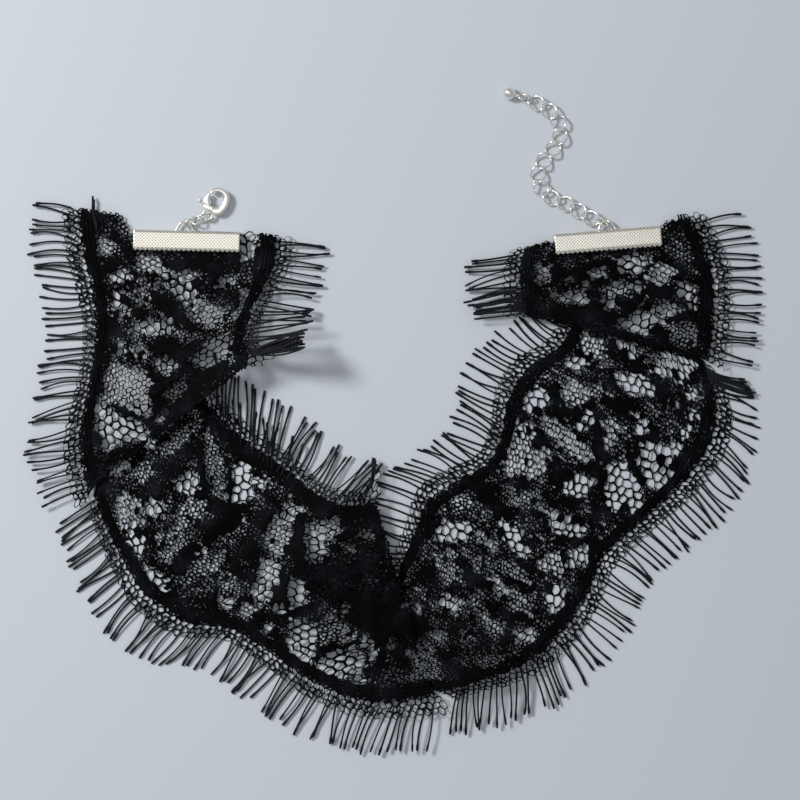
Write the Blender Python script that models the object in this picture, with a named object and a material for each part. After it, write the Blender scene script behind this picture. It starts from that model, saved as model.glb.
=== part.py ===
"""Lace choker laid flat in a folded U, with ribbon crimps, a clasp and an extension chain. Metres, +Z up."""
import math

import bmesh
import bpy
from mathutils import Matrix, Vector

for old in list(bpy.data.objects):
    bpy.data.objects.remove(old, do_unlink=True)

MM = 0.001

# Driving dimensions, in millimetres
WALL = 1.0            # thickness of a lace wall
NET = 0.13            # net band outside each scalloped border, as a share of the border-to-border width
SEAM = 0.3            # gap between neighbouring pieces
STACK = 1.4           # height of the hidden layers in a pleat
SHEET = 0.5           # plated sheet of the crimps
CRIMP_DEEP = 5.3      # crimp from its fold to its toothed edge
CRIMP_LONG = 27.4     # crimp along its fold
CRIMP_HIGH = 2.6      # crimp from front plate to back plate
EYE_WIDE = 2.2        # half width of a crimp's eye
EYE_HIGH = 2.8        # how far an eye stands out from the fold
EYE_WIRE = 0.6        # wire of an eye
WIRE = 0.5            # wire of rings and links
RING_RIGHT = 1.55     # ring on the right crimp, to the middle of its wire
RING_LEFT = 1.35      # the three rings on the left crimp
RING_END = 1.25       # ring that holds the ball
LINK_A = 2.3          # half length of a link, to the middle of its wire
LINK_B = 1.8          # half width of a link, to the middle of its wire
LINK_TILT = 45.0      # each end of a link leans this far from flat, in degrees
PLAY = 0.3            # free play where two links meet
PITCH = 2 * LINK_A - WIRE - PLAY
OFFSET = Vector((0.03, 0.11, 0.0))  # brings the middle of the whole onto the origin

# Lace strip, section by section. Columns: outer border x, y; inner border x, y; place along the cut strip
# at the outer and at the inner border; height of the underside at the outer border, a quarter in, and the
# inner border.
LACE_LEFT = (
    (-77.3, 54.0, -31.9, 47.7, 0.0, 0.0, 0.8, 0.8, 0.8),
    (-76.3, 43.6, -31.9, 40.6, 10.5, 7.5, 0.5, 0.8, 0.8),
    (-74.0, 33.5, -35.0, 33.0, 21.0, 15.5, 0.0, 1.2, 1.7),
    (-73.0, 24.6, -37.8, 26.4, 30.0, 23.0, 0.0, 1.8, 2.6),
    (-74.0, 15.2, -39.0, 21.3, 39.5, 29.0, 0.3, 1.9, 3.6),
    (-76.0, 5.6, -39.0, 17.7, 49.5, 34.5, 0.8, 2.0, 5.0),
    (-77.3, -4.6, -38.3, 15.5, 59.5, 38.5, 1.3, 2.1, 6.6),
    (-74.8, -15.5, -37.3, 13.4, 71.0, 42.0, 1.4, 2.2, 8.2),
)
LACE_MIDDLE = (
    (-74.8, -15.5, -58.8, 23.3, 71.0, 60.0, 0.0, 0.0, 0.0),
    (-73.0, -20.5, -53.7, 11.9, 76.5, 72.0, 0.0, 0.0, 0.0),
    (-70.7, -26.1, -47.4, 2.5, 82.5, 84.0, 0.0, 0.0, 0.0),
    (-67.2, -33.2, -40.3, -4.6, 90.5, 94.0, 0.0, 0.0, 0.0),
    (-61.3, -42.1, -32.7, -10.4, 101.0, 104.0, 0.0, 0.0, 0.0),
    (-51.2, -48.7, -26.6, -15.2, 113.0, 112.0, 0.0, 0.0, 0.0),
    (-39.8, -50.7, -21.3, -19.5, 124.5, 119.5, 0.0, 0.8, 0.8),
    (-29.7, -57.3, -15.7, -22.3, 137.0, 126.0, 0.0, 1.8, 1.8),
    (-18.3, -64.4, -10.6, -23.3, 150.5, 131.5, 0.3, 2.0, 2.0),
    (-4.3, -68.2, -6.6, -22.8, 164.5, 136.0, 1.1, 2.1, 2.7),
    (9.6, -67.4, -3.8, -21.0, 178.0, 140.0, 1.6, 2.3, 3.3),
)
LACE_RIGHT = (
    (9.6, -67.4, -23.3, -40.1, 178.0, 160.0, 0.0, 0.0, 0.0),
    (14.2, -66.4, -11.9, -42.6, 183.0, 171.0, 1.5, 0.4, 0.0),
    (19.3, -64.9, -0.3, -43.6, 188.0, 183.0, 3.0, 1.5, 0.0),
    (26.1, -62.4, 3.8, -36.5, 195.5, 191.0, 3.0, 1.5, 0.0),
    (33.0, -58.8, 7.1, -29.9, 203.0, 198.5, 1.5, 0.8, 0.0),
    (40.6, -52.5, 11.4, -21.0, 213.0, 208.0, 0.0, 0.0, 0.0),
    (47.7, -43.6, 19.3, -15.7, 224.0, 218.0, 0.0, 0.0, 0.0),
    (53.0, -32.4, 25.4, -11.4, 236.5, 225.0, 0.0, 0.0, 0.0),
    (62.9, -22.8, 29.2, -4.6, 250.0, 233.0, 0.0, 0.0, 0.0),
    (72.0, -14.2, 31.9, 5.1, 262.5, 243.0, 0.0, 0.0, 0.0),
    (78.6, -4.6, 37.5, 13.2, 274.0, 253.5, 0.0, 0.0, 0.0),
    (80.4, 4.3, 44.1, 18.3, 283.0, 262.0, 0.0, 0.0, 0.0),
    (79.3, 11.2, 48.2, 26.4, 290.0, 272.0, 0.0, 0.0, 0.0),
    (77.6, 16.5, 50.7, 39.0, 296.0, 289.0, 0.0, 0.0, 0.0),
)
LACE_RIGHT_END = (
    (77.6, 16.5, 35.2, 26.4, 296.0, 309.0, 1.4, 2.2, 2.8),
    (79.1, 25.9, 34.7, 31.9, 305.5, 315.0, 0.8, 2.0, 2.4),
    (79.3, 36.0, 34.5, 38.0, 315.5, 321.5, 0.3, 1.8, 1.9),
    (77.3, 44.1, 35.2, 42.1, 324.0, 327.0, 0.3, 0.8, 0.8),
    (73.8, 50.7, 36.3, 45.1, 331.0, 331.0, 0.8, 0.8, 0.8),
)

# Cut edges. Columns: share of the width from the outer border, section where the visible stretch starts or ends.
FROM_START = ((-0.13, 0.0), (1.13, 0.0))
LEFT_CUT = ((-0.13, 0.0), (0.20, 0.0), (0.25, 0.5), (0.86, 0.22), (0.93, 0.0), (1.13, 0.0))
LEFT_RIDGE = ((-0.13, 7.0), (1.13, 7.0))
MIDDLE_START = ((-0.13, 0.0), (0.0, 0.0), (0.37, 0.6), (1.13, 1.5))
MIDDLE_RIDGE = ((-0.13, 10.0), (1.13, 10.0))
RIGHT_START = ((-0.13, 0.3), (0.0, 0.4), (1.0, 1.9), (1.13, 2.0))
RIGHT_END = ((-0.13, 13.0), (0.0, 12.9), (1.0, 12.3), (1.13, 12.3))
RIDGE_START = ((-0.13, 0.0), (1.13, 0.0))
END_CUT = ((-0.13, 4.25), (0.10, 4.3), (0.155, 3.85), (0.88, 4.0), (0.93, 4.05), (1.13, 3.6))

# Fringe. Columns: section, compass bearing of the threads in degrees, reach, height of the tips.
FRINGE_OUTER_LEFT = (
    (0.0, 165, 11, 1.0), (1.0, 180, 11, 0.2), (2.0, 176, 11, 0.0), (3.0, 187, 11, 0.0), (4.0, 188, 11, 0.2),
    (5.0, 193, 11, 0.5), (6.0, 185, 11, 1.2), (7.0, 206, 9, 1.6),
)
FRINGE_INNER_LEFT = (
    (0.1, 0, 11, 0.6), (1.0, -3, 11, 0.6), (2.0, -8, 12, 1.2), (3.0, -4, 13, 3.0), (4.0, 8, 15, 7.0),
    (5.0, 10, 12.5, 10.0), (6.0, 10, 11.5, 13.0), (7.0, 11, 11, 15.0),
)
FRINGE_OUTER_MIDDLE = (
    (0.0, 212, 10, 0.0), (1.0, 217, 11, 0.0), (2.0, 221, 11, 0.0), (3.0, 222, 11, 0.0), (4.0, 228, 11, 0.0),
    (5.0, 231, 11, 0.0), (6.0, 239, 11, 0.0), (7.0, 234, 11, 0.0), (8.0, 242, 11, 0.2), (9.0, 256, 11, 0.6),
    (10.0, 259, 10, 1.5),
)
FRINGE_INNER_MIDDLE = (
    (1.9, 98, 11, 0.0), (3.0, 85, 11, 0.0), (4.0, 72, 11, 0.0), (5.0, 61, 11, 0.0), (6.0, 56, 11, 0.3),
    (7.0, 51, 11, 0.6), (8.0, 48, 10, 0.8), (9.0, 66, 8, 1.5), (10.0, 84, 7, 2.4),
)
FRINGE_OUTER_RIGHT = (
    (0.45, 264, 10, 0.2), (2.0, 265, 11, 0.9), (3.0, 272, 11, 1.1), (4.0, 286, 11, 0.6), (5.0, 304, 11, 0.0),
    (6.0, 328, 11, 0.0), (7.0, 326, 11, 0.0), (8.0, 317, 11, 0.0), (9.0, 308, 11, 0.0), (10.0, 320, 10, 0.0),
    (11.0, 342, 8.5, 0.0), (12.0, 338, 9, 0.0), (12.9, 340, 9, 0.0),
)
FRINGE_INNER_RIGHT = (
    (2.15, 176, 11, 0.0), (3.0, 173, 11, 0.0), (4.0, 160, 11, 0.0), (5.0, 163, 11, 0.0), (6.0, 155, 11, 0.0),
    (7.0, 150, 11, 0.0), (8.0, 153, 11, 0.0), (9.0, 157, 11, 0.0), (10.0, 151, 11, 0.0), (11.0, 136, 10, 0.0),
    (11.7, 148, 9, 0.0),
)
FRINGE_OUTER_END = (
    (0.0, -15, 9, 1.5), (1.0, -3, 8.5, 0.8), (2.0, 2, 8.5, 0.2), (3.0, 2, 10, 0.2), (4.1, 10, 11, 0.8),
)
FRINGE_INNER_END = ((0.0, 187, 10, 1.6), (1.0, 192, 11, 1.0), (2.0, 192, 11, 0.6), (3.5, 192, 11, 0.8))

# Where the walls have their rows of points, as shares of the width
SHARES = (-NET, 0.0, 0.12, 0.25, 0.4, 0.55, 0.7, 0.85, 1.0, 1 + NET)
LEFT_SHARES = (-NET, 0.0, 0.1, 0.2, 0.25, 0.4, 0.55, 0.7, 0.86, 0.93, 1.0, 1 + NET)
END_SHARES = (-NET, 0.0, 0.1, 0.155, 0.3, 0.45, 0.6, 0.75, 0.88, 0.93, 1.0, 1 + NET)

# Where the hidden layers stop or start. Columns: share of the width, section.
HIDDEN_MIDDLE_END = ((-0.13, -0.3), (0.2, 0.15), (0.37, 0.5), (1.13, 1.4))
HIDDEN_RIGHT_END = ((-0.13, 0.1), (0.0, 0.25), (1.0, 1.78), (1.13, 1.9))
HIDDEN_END_START = ((-0.13, 13.0), (0.0, 13.0), (1.0, 12.42), (1.13, 12.4))

# Extension chain, links in order from the right crimp. Columns: bearing as it lies, height of its middle.
LINKS = (
    (158, 1.3), (140, 1.2), (163, 1.1), (151, 1.05), (121, 1.05), (82, 1.05),
    (52, 1.05), (50, 1.05), (75, 1.05), (117, 1.05), (143, 1.1), (155, 1.2),
)
END_RING_BEARING = 161
DROP_BEARING = 163

# Lobster clasp. Columns: along the clasp from its tail, to its left, radius.
HOOK = (
    (1.2, -0.1, 0.55), (2.0, -0.9, 0.95), (3.3, -2.1, 0.8), (4.8, -3.0, 0.62), (6.2, -3.05, 0.58),
    (7.3, -2.2, 0.55), (7.7, -0.8, 0.52), (7.4, 0.45, 0.48), (6.9, 1.25, 0.42),
)
LEVER = ((2.4, 1.3, 0.38), (3.3, 1.75, 0.45), (4.5, 1.95, 0.4), (5.8, 1.75, 0.36))
PIVOT = (2.4, 1.3)
CLASP_BEARING = 68

# Blue-black thread and plated metal
COLOURS = {
    "lace": (0.012, 0.013, 0.02, 1.0),
    "thread": (0.02, 0.021, 0.03, 1.0),
    "metal": (0.62, 0.61, 0.58, 1.0),
}

collection = bpy.data.collections.new("lace_choker")
bpy.context.scene.collection.children.link(collection)


# Add a finished mesh as one named piece
def piece(name, bm, colour, smooth=False, origin=(0, 0, 0)):
    bmesh.ops.remove_doubles(bm, verts=bm.verts, dist=0.002)
    bmesh.ops.recalc_face_normals(bm, faces=bm.faces)
    start = Vector(origin)
    bmesh.ops.transform(bm, matrix=Matrix.Translation(-start), verts=bm.verts)
    bmesh.ops.transform(bm, matrix=Matrix.Scale(MM, 4), verts=bm.verts)
    mesh = bpy.data.meshes.new(name)
    bm.to_mesh(mesh)
    bm.free()
    for face in mesh.polygons:
        face.use_smooth = smooth
    obj = bpy.data.objects.new(name, mesh)
    obj.location = (start + OFFSET) * MM
    material = bpy.data.materials.new(name)
    material.use_nodes = True
    shader = material.node_tree.nodes["Principled BSDF"]
    shader.inputs["Base Color"].default_value = COLOURS[colour]
    shader.inputs["Metallic"].default_value = 1.0 if colour == "metal" else 0.0
    shader.inputs["Roughness"].default_value = 0.25 if colour == "metal" else 0.8
    mesh.materials.append(material)
    collection.objects.link(obj)
    return obj


# Read a short table between its rows
def between(table, key, column):
    for low, high in zip(table, table[1:]):
        if key <= high[0]:
            break
    share = (key - low[0]) / (high[0] - low[0])
    return low[column] + (high[column] - low[column]) * share


# Smooth curve through a column of sections, straight past both ends
def along(rows, section, column):
    last = len(rows) - 1
    i = max(0, min(last - 1, math.floor(section)))
    t = section - i
    p1 = rows[i][column]
    p2 = rows[i + 1][column]
    if t < 0 or t > 1 or column > 3:
        return p1 + (p2 - p1) * t
    p0 = rows[i - 1][column] if i > 0 else 2 * p1 - p2
    p3 = rows[i + 2][column] if i + 2 <= last else 2 * p2 - p1
    square = 2 * p0 - 5 * p1 + 4 * p2 - p3
    cube = 3 * p1 - p0 - 3 * p2 + p3
    return 0.5 * (2 * p1 + (p2 - p0) * t + square * t * t + cube * t ** 3)


def ease(x):
    x = max(0.0, min(1.0, x))
    return x * x * (3 - 2 * x)


# Underside of a lace panel at a section and a share of the width
def underside(rows, section, share):
    x = along(rows, section, 0) * (1 - share) + along(rows, section, 2) * share
    y = along(rows, section, 1) * (1 - share) + along(rows, section, 3) * share
    edge, stack, inner = (along(rows, section, c) for c in (6, 7, 8))
    z = edge + (stack - edge) * ease(share / 0.25) + (inner - stack) * ease((share - 0.25) / 0.75)
    return Vector((x, y, max(z, 0.0)))


# A wall between two sheets of points worked out from rows and columns
def wall(name, lower, upper, rows_at, columns_at, colour):
    bm = bmesh.new()
    n, m = len(rows_at), len(columns_at)
    sheets = []
    for sheet in (lower, upper):
        grid = bmesh.ops.create_grid(bm, x_segments=n - 1, y_segments=m - 1, size=1)["verts"]
        grid.sort(key=lambda v: (round(v.co.x, 4), round(v.co.y, 4)))
        for k, vert in enumerate(grid):
            vert.co = sheet(rows_at[k // m], columns_at[k % m])
        sheets.append(grid)
    rims = []
    for grid in sheets:
        own = set(grid)
        rims += [e for e in bm.edges if e.is_boundary and e.verts[0] in own]
    bmesh.ops.bridge_loops(bm, edges=rims)
    bmesh.ops.triangulate(bm, faces=bm.faces)
    return piece(name, bm, colour)


def steps(low, high, count):
    return [low + (high - low) * k / count for k in range(count + 1)]


# A lace panel between its two cut or folded ends
def panel(name, rows, start, end, count, shares):
    def place(share_along, share):
        low = between(start, share, 1)
        high = between(end, share, 1)
        return underside(rows, low + (high - low) * share_along, share)

    def top(share_along, share):
        return place(share_along, share) + Vector((0, 0, WALL))

    return wall(name, place, top, steps(0, 1, count), shares, "lace")


# The loose threads past one edge of a panel, as a plain solid of their reach
def fringe(name, rows, edge, table, count):
    def foot(section, share):
        root = underside(rows, section, edge)
        bearing = math.radians(between(table, section, 1))
        run = underside(rows, section + 0.02, edge) - underside(rows, section - 0.02, edge)
        lean = abs(math.cos(bearing) * run.y - math.sin(bearing) * run.x) / math.hypot(run.x, run.y)
        seam = 1.4 * SEAM / max(lean, 0.25)
        reach = seam + (between(table, section, 2) - seam) * share
        tip = between(table, section, 3)
        rise = root.z + (tip - root.z) * share
        return Vector((root.x + reach * math.cos(bearing), root.y + reach * math.sin(bearing), rise))

    def top(section, share):
        return foot(section, share) + Vector((0, 0, WALL))

    return wall(name, foot, top, steps(table[0][0], table[-1][0], count), (0.0, 0.5, 1.0), "thread")


# The layers hidden in a pleat, one low solid with rounded edges
def pleat(name, rows, start, end, low, high, count):
    def foot(share_along, share):
        first = between(start, share, 1)
        last = between(end, share, 1)
        return underside(rows, first + (last - first) * share_along, share)

    def flat(share_along, share):
        point = foot(share_along, share)
        return Vector((point.x, point.y, 0))

    def top(share_along, share):
        near = min(share_along, 1 - share_along) / 0.2
        return flat(share_along, share) + Vector((0, 0, STACK - 0.5 * (1 - ease(near))))

    return wall(name, flat, top, steps(0, 1, count), steps(low, high, 5), "lace")


# The lace strip: left side, bottom left, right side, and the short stretch under the right crimp
panel("lace_left", LACE_LEFT, LEFT_CUT, LEFT_RIDGE, 20, LEFT_SHARES)
panel("lace_middle", LACE_MIDDLE, MIDDLE_START, MIDDLE_RIDGE, 26, SHARES)
panel("lace_right", LACE_RIGHT, RIGHT_START, RIGHT_END, 34, SHARES)
panel("lace_right_end", LACE_RIGHT_END, RIDGE_START, END_CUT, 11, END_SHARES)

# The layers hidden in the three pleats
pleat("pleat_left", LACE_MIDDLE, FROM_START, HIDDEN_MIDDLE_END, 0.35, 1.0, 3)
pleat("pleat_bottom", LACE_RIGHT, FROM_START, HIDDEN_RIGHT_END, 0.3, 1.0, 4)
pleat("pleat_right", LACE_RIGHT, HIDDEN_END_START, ((-0.13, 13.0), (1.13, 13.0)), 0.4, 0.8, 2)

# The fringe along both edges of each stretch
fringe("fringe_outer_left", LACE_LEFT, -NET, FRINGE_OUTER_LEFT, 14)
fringe("fringe_inner_left", LACE_LEFT, 1 + NET, FRINGE_INNER_LEFT, 14)
fringe("fringe_outer_middle", LACE_MIDDLE, -NET, FRINGE_OUTER_MIDDLE, 20)
fringe("fringe_inner_middle", LACE_MIDDLE, 1 + NET, FRINGE_INNER_MIDDLE, 16)
fringe("fringe_outer_right", LACE_RIGHT, -NET, FRINGE_OUTER_RIGHT, 25)
fringe("fringe_inner_right", LACE_RIGHT, 1 + NET, FRINGE_INNER_RIGHT, 20)
fringe("fringe_outer_right_end", LACE_RIGHT_END, -NET, FRINGE_OUTER_END, 8)
fringe("fringe_inner_right_end", LACE_RIGHT_END, 1 + NET, FRINGE_INNER_END, 7)


# Round wire along a line of points, as a mesh in the collection's own frame
def wire(points, radii, closed, turn=Matrix.Identity(4)):
    curve = bpy.data.curves.new("wire", "CURVE")
    curve.dimensions = "3D"
    curve.bevel_depth = 1.0
    curve.bevel_resolution = 1
    curve.use_fill_caps = not closed
    spline = curve.splines.new("POLY")
    spline.points.add(len(points) - 1)
    for knot, at, radius in zip(spline.points, points, radii):
        knot.co = (*at, 1)
        knot.radius = radius
    spline.use_cyclic_u = closed
    holder = bpy.data.objects.new("wire", curve)
    bpy.context.scene.collection.objects.link(holder)
    depsgraph = bpy.context.evaluated_depsgraph_get()
    mesh = bpy.data.meshes.new_from_object(holder.evaluated_get(depsgraph))
    bm = bmesh.new()
    bm.from_mesh(mesh)
    bmesh.ops.remove_doubles(bm, verts=bm.verts, dist=0.002)
    bmesh.ops.transform(bm, matrix=turn, verts=bm.verts)
    bpy.data.objects.remove(holder, do_unlink=True)
    return bm


# Join overlapping solids into one
def union(first, *others):
    meshes = []
    for bm in (first, *others):
        bmesh.ops.recalc_face_normals(bm, faces=bm.faces)
        mesh = bpy.data.meshes.new("part")
        bm.to_mesh(mesh)
        bm.free()
        holder = bpy.data.objects.new("part", mesh)
        bpy.context.scene.collection.objects.link(holder)
        meshes.append(holder)
    for other in meshes[1:]:
        cut = meshes[0].modifiers.new("join", "BOOLEAN")
        cut.operation = "UNION"
        cut.solver = "EXACT"
        cut.object = other
    depsgraph = bpy.context.evaluated_depsgraph_get()
    result = bpy.data.meshes.new_from_object(meshes[0].evaluated_get(depsgraph))
    bm = bmesh.new()
    bm.from_mesh(result)
    bmesh.ops.triangulate(bm, faces=bm.faces)
    for holder in meshes:
        bpy.data.objects.remove(holder, do_unlink=True)
    return bm


def block(size, at):
    bm = bmesh.new()
    bmesh.ops.create_cube(bm, size=1)
    bmesh.ops.transform(bm, matrix=Matrix.Translation(at) @ Matrix.Diagonal((*size, 1)), verts=bm.verts)
    return bm


# A round or oval link lying along a bearing, its two ends leaning from flat
def link_wire(a, b, lean_start, lean_end, bearing, at, knots=16):
    points = []
    for k in range(knots):
        turn = 2 * math.pi * (k + 0.5) / knots
        lean = math.radians((lean_start + lean_end) / 2 + (lean_end - lean_start) / 2 * math.cos(turn))
        aside = b * math.sin(turn)
        points.append((a * math.cos(turn), aside * math.cos(lean), aside * math.sin(lean)))
    place = Matrix.Translation(at) @ Matrix.Rotation(math.radians(bearing), 4, "Z")
    return wire(points, [WIRE / 2] * knots, True, place)


# Ribbon crimps: a plated sheet folded over the lace end, with its eye on the fold
def crimp(name, at, turn, eye_at):
    place = Matrix.Translation((at[0], at[1], 0)) @ Matrix.Rotation(math.radians(turn), 4, "Z")
    half = CRIMP_DEEP / 2
    back = block((CRIMP_LONG, CRIMP_DEEP, SHEET), (0, 0, SHEET / 2))
    front = block((CRIMP_LONG, CRIMP_DEEP, SHEET), (0, 0, CRIMP_HIGH - SHEET / 2))
    fold = block((CRIMP_LONG, SHEET, CRIMP_HIGH), (0, half - SHEET / 2, CRIMP_HIGH / 2))
    arch = []
    for k in range(9):
        sweep = math.pi * k / 8
        across = eye_at + EYE_WIDE * math.cos(sweep) * (1 - 0.2 * math.sin(sweep))
        arch.append((across, half - 0.3 + EYE_HIGH * math.sin(sweep), 0))
    eye = wire(arch, [EYE_WIRE / 2] * 9, False, Matrix.Translation((0, 0, CRIMP_HIGH / 2)))
    bm = union(fold, back, front, eye)
    bmesh.ops.transform(bm, matrix=place, verts=bm.verts)
    piece(name, bm, "metal")


crimp("crimp_left", (-51.9, 45.7), -1.3, -0.6)
crimp("crimp_right", (54.6, 45.9), 4.7, 0.0)

# Extension chain: jump ring, twelve links twisted so that each meets the next crosswise, small ring and ball
start = Vector((54.15, 49.85, 1.68))
reach = 2 * RING_RIGHT - WIRE - PLAY
ahead = Vector((math.cos(math.radians(155)), math.sin(math.radians(155)), 0))
ring = link_wire(RING_RIGHT, RING_RIGHT, 65, 65, 155, start + ahead * reach / 2)
piece("ring_right", ring, "metal", True, start)
start = start + ahead * reach
for k, (bearing, height) in enumerate(LINKS):
    start.z = height
    ahead = Vector((math.cos(math.radians(bearing)), math.sin(math.radians(bearing)), 0))
    body = link_wire(LINK_A, LINK_B, -LINK_TILT, LINK_TILT, bearing, start + ahead * PITCH / 2)
    piece("link_%02d" % (k + 1), body, "metal", True, start)
    start = start + ahead * PITCH
reach = 2 * RING_END - WIRE - PLAY
start.z = 1.35
ahead = Vector((math.cos(math.radians(END_RING_BEARING)), math.sin(math.radians(END_RING_BEARING)), 0))
ring = link_wire(RING_END, RING_END, -45, -45, END_RING_BEARING, start + ahead * reach / 2)
piece("end_ring", ring, "metal", True, start)
start = start + ahead * reach

# Ball drop: eye, neck and ball in one
start.z = 1.52
place = Matrix.Translation(start) @ Matrix.Rotation(math.radians(DROP_BEARING), 4, "Z")
eye = link_wire(0.85, 0.85, 45, 45, 0, Vector((0.45, 0, 0)), 12)
neck = wire(((1.2, 0, 0), (2.6, 0, 0)), (0.45, 0.45), False)
ball = bmesh.new()
bmesh.ops.create_uvsphere(ball, u_segments=12, v_segments=8, radius=1.5)
bmesh.ops.transform(ball, matrix=Matrix.Translation((3.5, 0, 0)), verts=ball.verts)
drop = union(ball, neck, eye)
bmesh.ops.transform(drop, matrix=place, verts=drop.verts)
piece("end_drop", drop, "metal", True, start)

# Three small rings from the left crimp to the clasp
start = Vector((-52.05, 49.85, 1.52))
reach = 2 * RING_LEFT - WIRE - PLAY
for name, bearing, lean in (("ring_a", 32, 65), ("ring_b", 12, -40), ("ring_c", 22, 55)):
    ahead = Vector((math.cos(math.radians(bearing)), math.sin(math.radians(bearing)), 0))
    ring = link_wire(RING_LEFT, RING_LEFT, lean, lean, bearing, start + ahead * reach / 2)
    piece(name, ring, "metal", True, start)
    start = start + ahead * reach

# Lobster clasp: tail eye, hooked body with two ears, and the sprung lever between them
place = Matrix.Translation(start) @ Matrix.Rotation(math.radians(CLASP_BEARING), 4, "Z")
turns = [k * math.pi / 6 for k in range(12)]
tail = wire([(0.5 + 1.2 * math.cos(turn), 1.2 * math.sin(turn), 0) for turn in turns], [0.29] * 12, True)
hook = wire([(x, y, 0) for x, y, r in HOOK], [r for x, y, r in HOOK], False)
ears = [block((1.1, 2.5, 0.26), (2.3, 0.45, side * 0.81)) for side in (-1, 1)]
body = union(hook, tail, *ears)
bmesh.ops.transform(body, matrix=place, verts=body.verts)
piece("clasp_body", body, "metal", True, start)

arm = wire([(x, y, 0) for x, y, r in LEVER], [r for x, y, r in LEVER], False)
barrel = bmesh.new()
bmesh.ops.create_cone(barrel, cap_ends=True, segments=12, radius1=0.5, radius2=0.5, depth=0.76)
bmesh.ops.transform(barrel, matrix=Matrix.Translation((*PIVOT, 0)), verts=barrel.verts)
thumb = wire(((3.0, 1.8, 0), (3.1, 2.6, 0), (3.15, 3.2, 0)), (0.3, 0.36, 0.46), False)
lever = union(arm, barrel, thumb)
bmesh.ops.transform(lever, matrix=place, verts=lever.verts)
piece("clasp_lever", lever, "metal", True, place @ Vector((*PIVOT, 0)))
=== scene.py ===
import math

import bmesh
import bpy
import numpy as np
from mathutils import Matrix, Vector


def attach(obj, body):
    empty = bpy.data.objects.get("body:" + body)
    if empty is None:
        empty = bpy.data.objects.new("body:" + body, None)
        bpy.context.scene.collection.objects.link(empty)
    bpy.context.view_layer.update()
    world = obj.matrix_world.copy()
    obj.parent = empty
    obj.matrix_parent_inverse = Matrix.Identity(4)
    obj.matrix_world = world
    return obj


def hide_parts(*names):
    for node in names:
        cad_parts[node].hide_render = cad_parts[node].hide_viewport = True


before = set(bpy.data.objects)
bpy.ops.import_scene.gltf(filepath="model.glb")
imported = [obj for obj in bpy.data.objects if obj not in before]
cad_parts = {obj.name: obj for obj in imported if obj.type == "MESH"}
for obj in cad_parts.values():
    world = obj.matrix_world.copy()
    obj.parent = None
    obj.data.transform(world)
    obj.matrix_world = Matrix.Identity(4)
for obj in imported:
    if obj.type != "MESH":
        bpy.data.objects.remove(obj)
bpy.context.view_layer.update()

# ---- Camera ----
# The choker lies flat and is seen from straight above, 0.6 m up, as on a copy stand.
# The lens is set so that a picture 800 px wide covers 202.8 mm of the surface.
MM = 0.001
VIEW_WIDTH = 202.8
VIEW_MIDDLE = (2.06, 5.69)
VIEW_HEIGHT = 600.0
SENSOR_WIDTH = 36.0
camera_data = bpy.data.cameras.new("copy_stand")
camera_data.sensor_width = SENSOR_WIDTH
camera_data.lens = SENSOR_WIDTH * VIEW_HEIGHT / VIEW_WIDTH
camera_data.clip_start = 10 * MM
camera = bpy.data.objects.new("copy_stand", camera_data)
camera.location = (VIEW_MIDDLE[0] * MM, VIEW_MIDDLE[1] * MM, VIEW_HEIGHT * MM)
bpy.context.scene.collection.objects.link(camera)
bpy.context.scene.camera = camera

# ---- Lace strip ----
# One strip of machine-made nylon lace, 43 mm between its two scalloped borders, with net and cut threads outside them.
# It is cut straight at both ends, laid in a U and folded over on itself at three pleats.
LACE_WIDTH = 43.0
# How far the net stands out past a border, as a share of the width
NET = 0.13
# What lifts the lace off the surface, and moves everything to the middle of its mount
LACE_LIFT = 0.32
SHIFT = (0.03, 0.11)
# The sections of the strip. Columns: outer border x, y; inner border x, y; place along the cut strip at the outer
# and at the inner border; height at the outer border, a quarter of the way in, and at the inner border.
# All in millimetres.
LEFT = (
    (-77.3, 54, -31.9, 47.7, 0, 0, 0.8, 0.8, 0.8),
    (-76.3, 43.6, -31.9, 40.6, 10.5, 7.5, 0.5, 0.8, 0.8),
    (-74, 33.5, -35, 33, 21, 15.5, 0, 1.2, 1.7),
    (-73, 24.6, -37.8, 26.4, 30, 23, 0, 1.8, 2.6),
    (-74, 15.2, -39, 21.3, 39.5, 29, 0.3, 1.9, 3.6),
    (-76, 5.6, -39, 17.7, 49.5, 34.5, 0.8, 2, 5),
    (-77.3, -4.6, -38.3, 15.5, 59.5, 38.5, 1.3, 2.1, 6.6),
    (-74.8, -15.5, -37.3, 13.4, 71, 42, 1.4, 2.2, 8.2),
)
MIDDLE = (
    (-74.8, -15.5, -58.8, 23.3, 71, 60, 0, 0, 0),
    (-73, -20.5, -53.7, 11.9, 76.5, 72, 0, 0, 0),
    (-70.7, -26.1, -47.4, 2.5, 82.5, 84, 0, 0, 0),
    (-67.2, -33.2, -40.3, -4.6, 90.5, 94, 0, 0, 0),
    (-61.3, -42.1, -32.7, -10.4, 101, 104, 0, 0, 0),
    (-51.2, -48.7, -26.6, -15.2, 113, 112, 0, 0, 0),
    (-39.8, -50.7, -21.3, -19.5, 124.5, 119.5, 0, 0.8, 0.8),
    (-29.7, -57.3, -15.7, -22.3, 137, 126, 0, 1.8, 1.8),
    (-18.3, -64.4, -10.6, -23.3, 150.5, 131.5, 0.3, 2, 2),
    (-4.3, -68.2, -6.6, -22.8, 164.5, 136, 1.1, 2.1, 2.7),
    (9.6, -67.4, -3.8, -21, 178, 140, 1.6, 2.3, 3.3),
)
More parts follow.
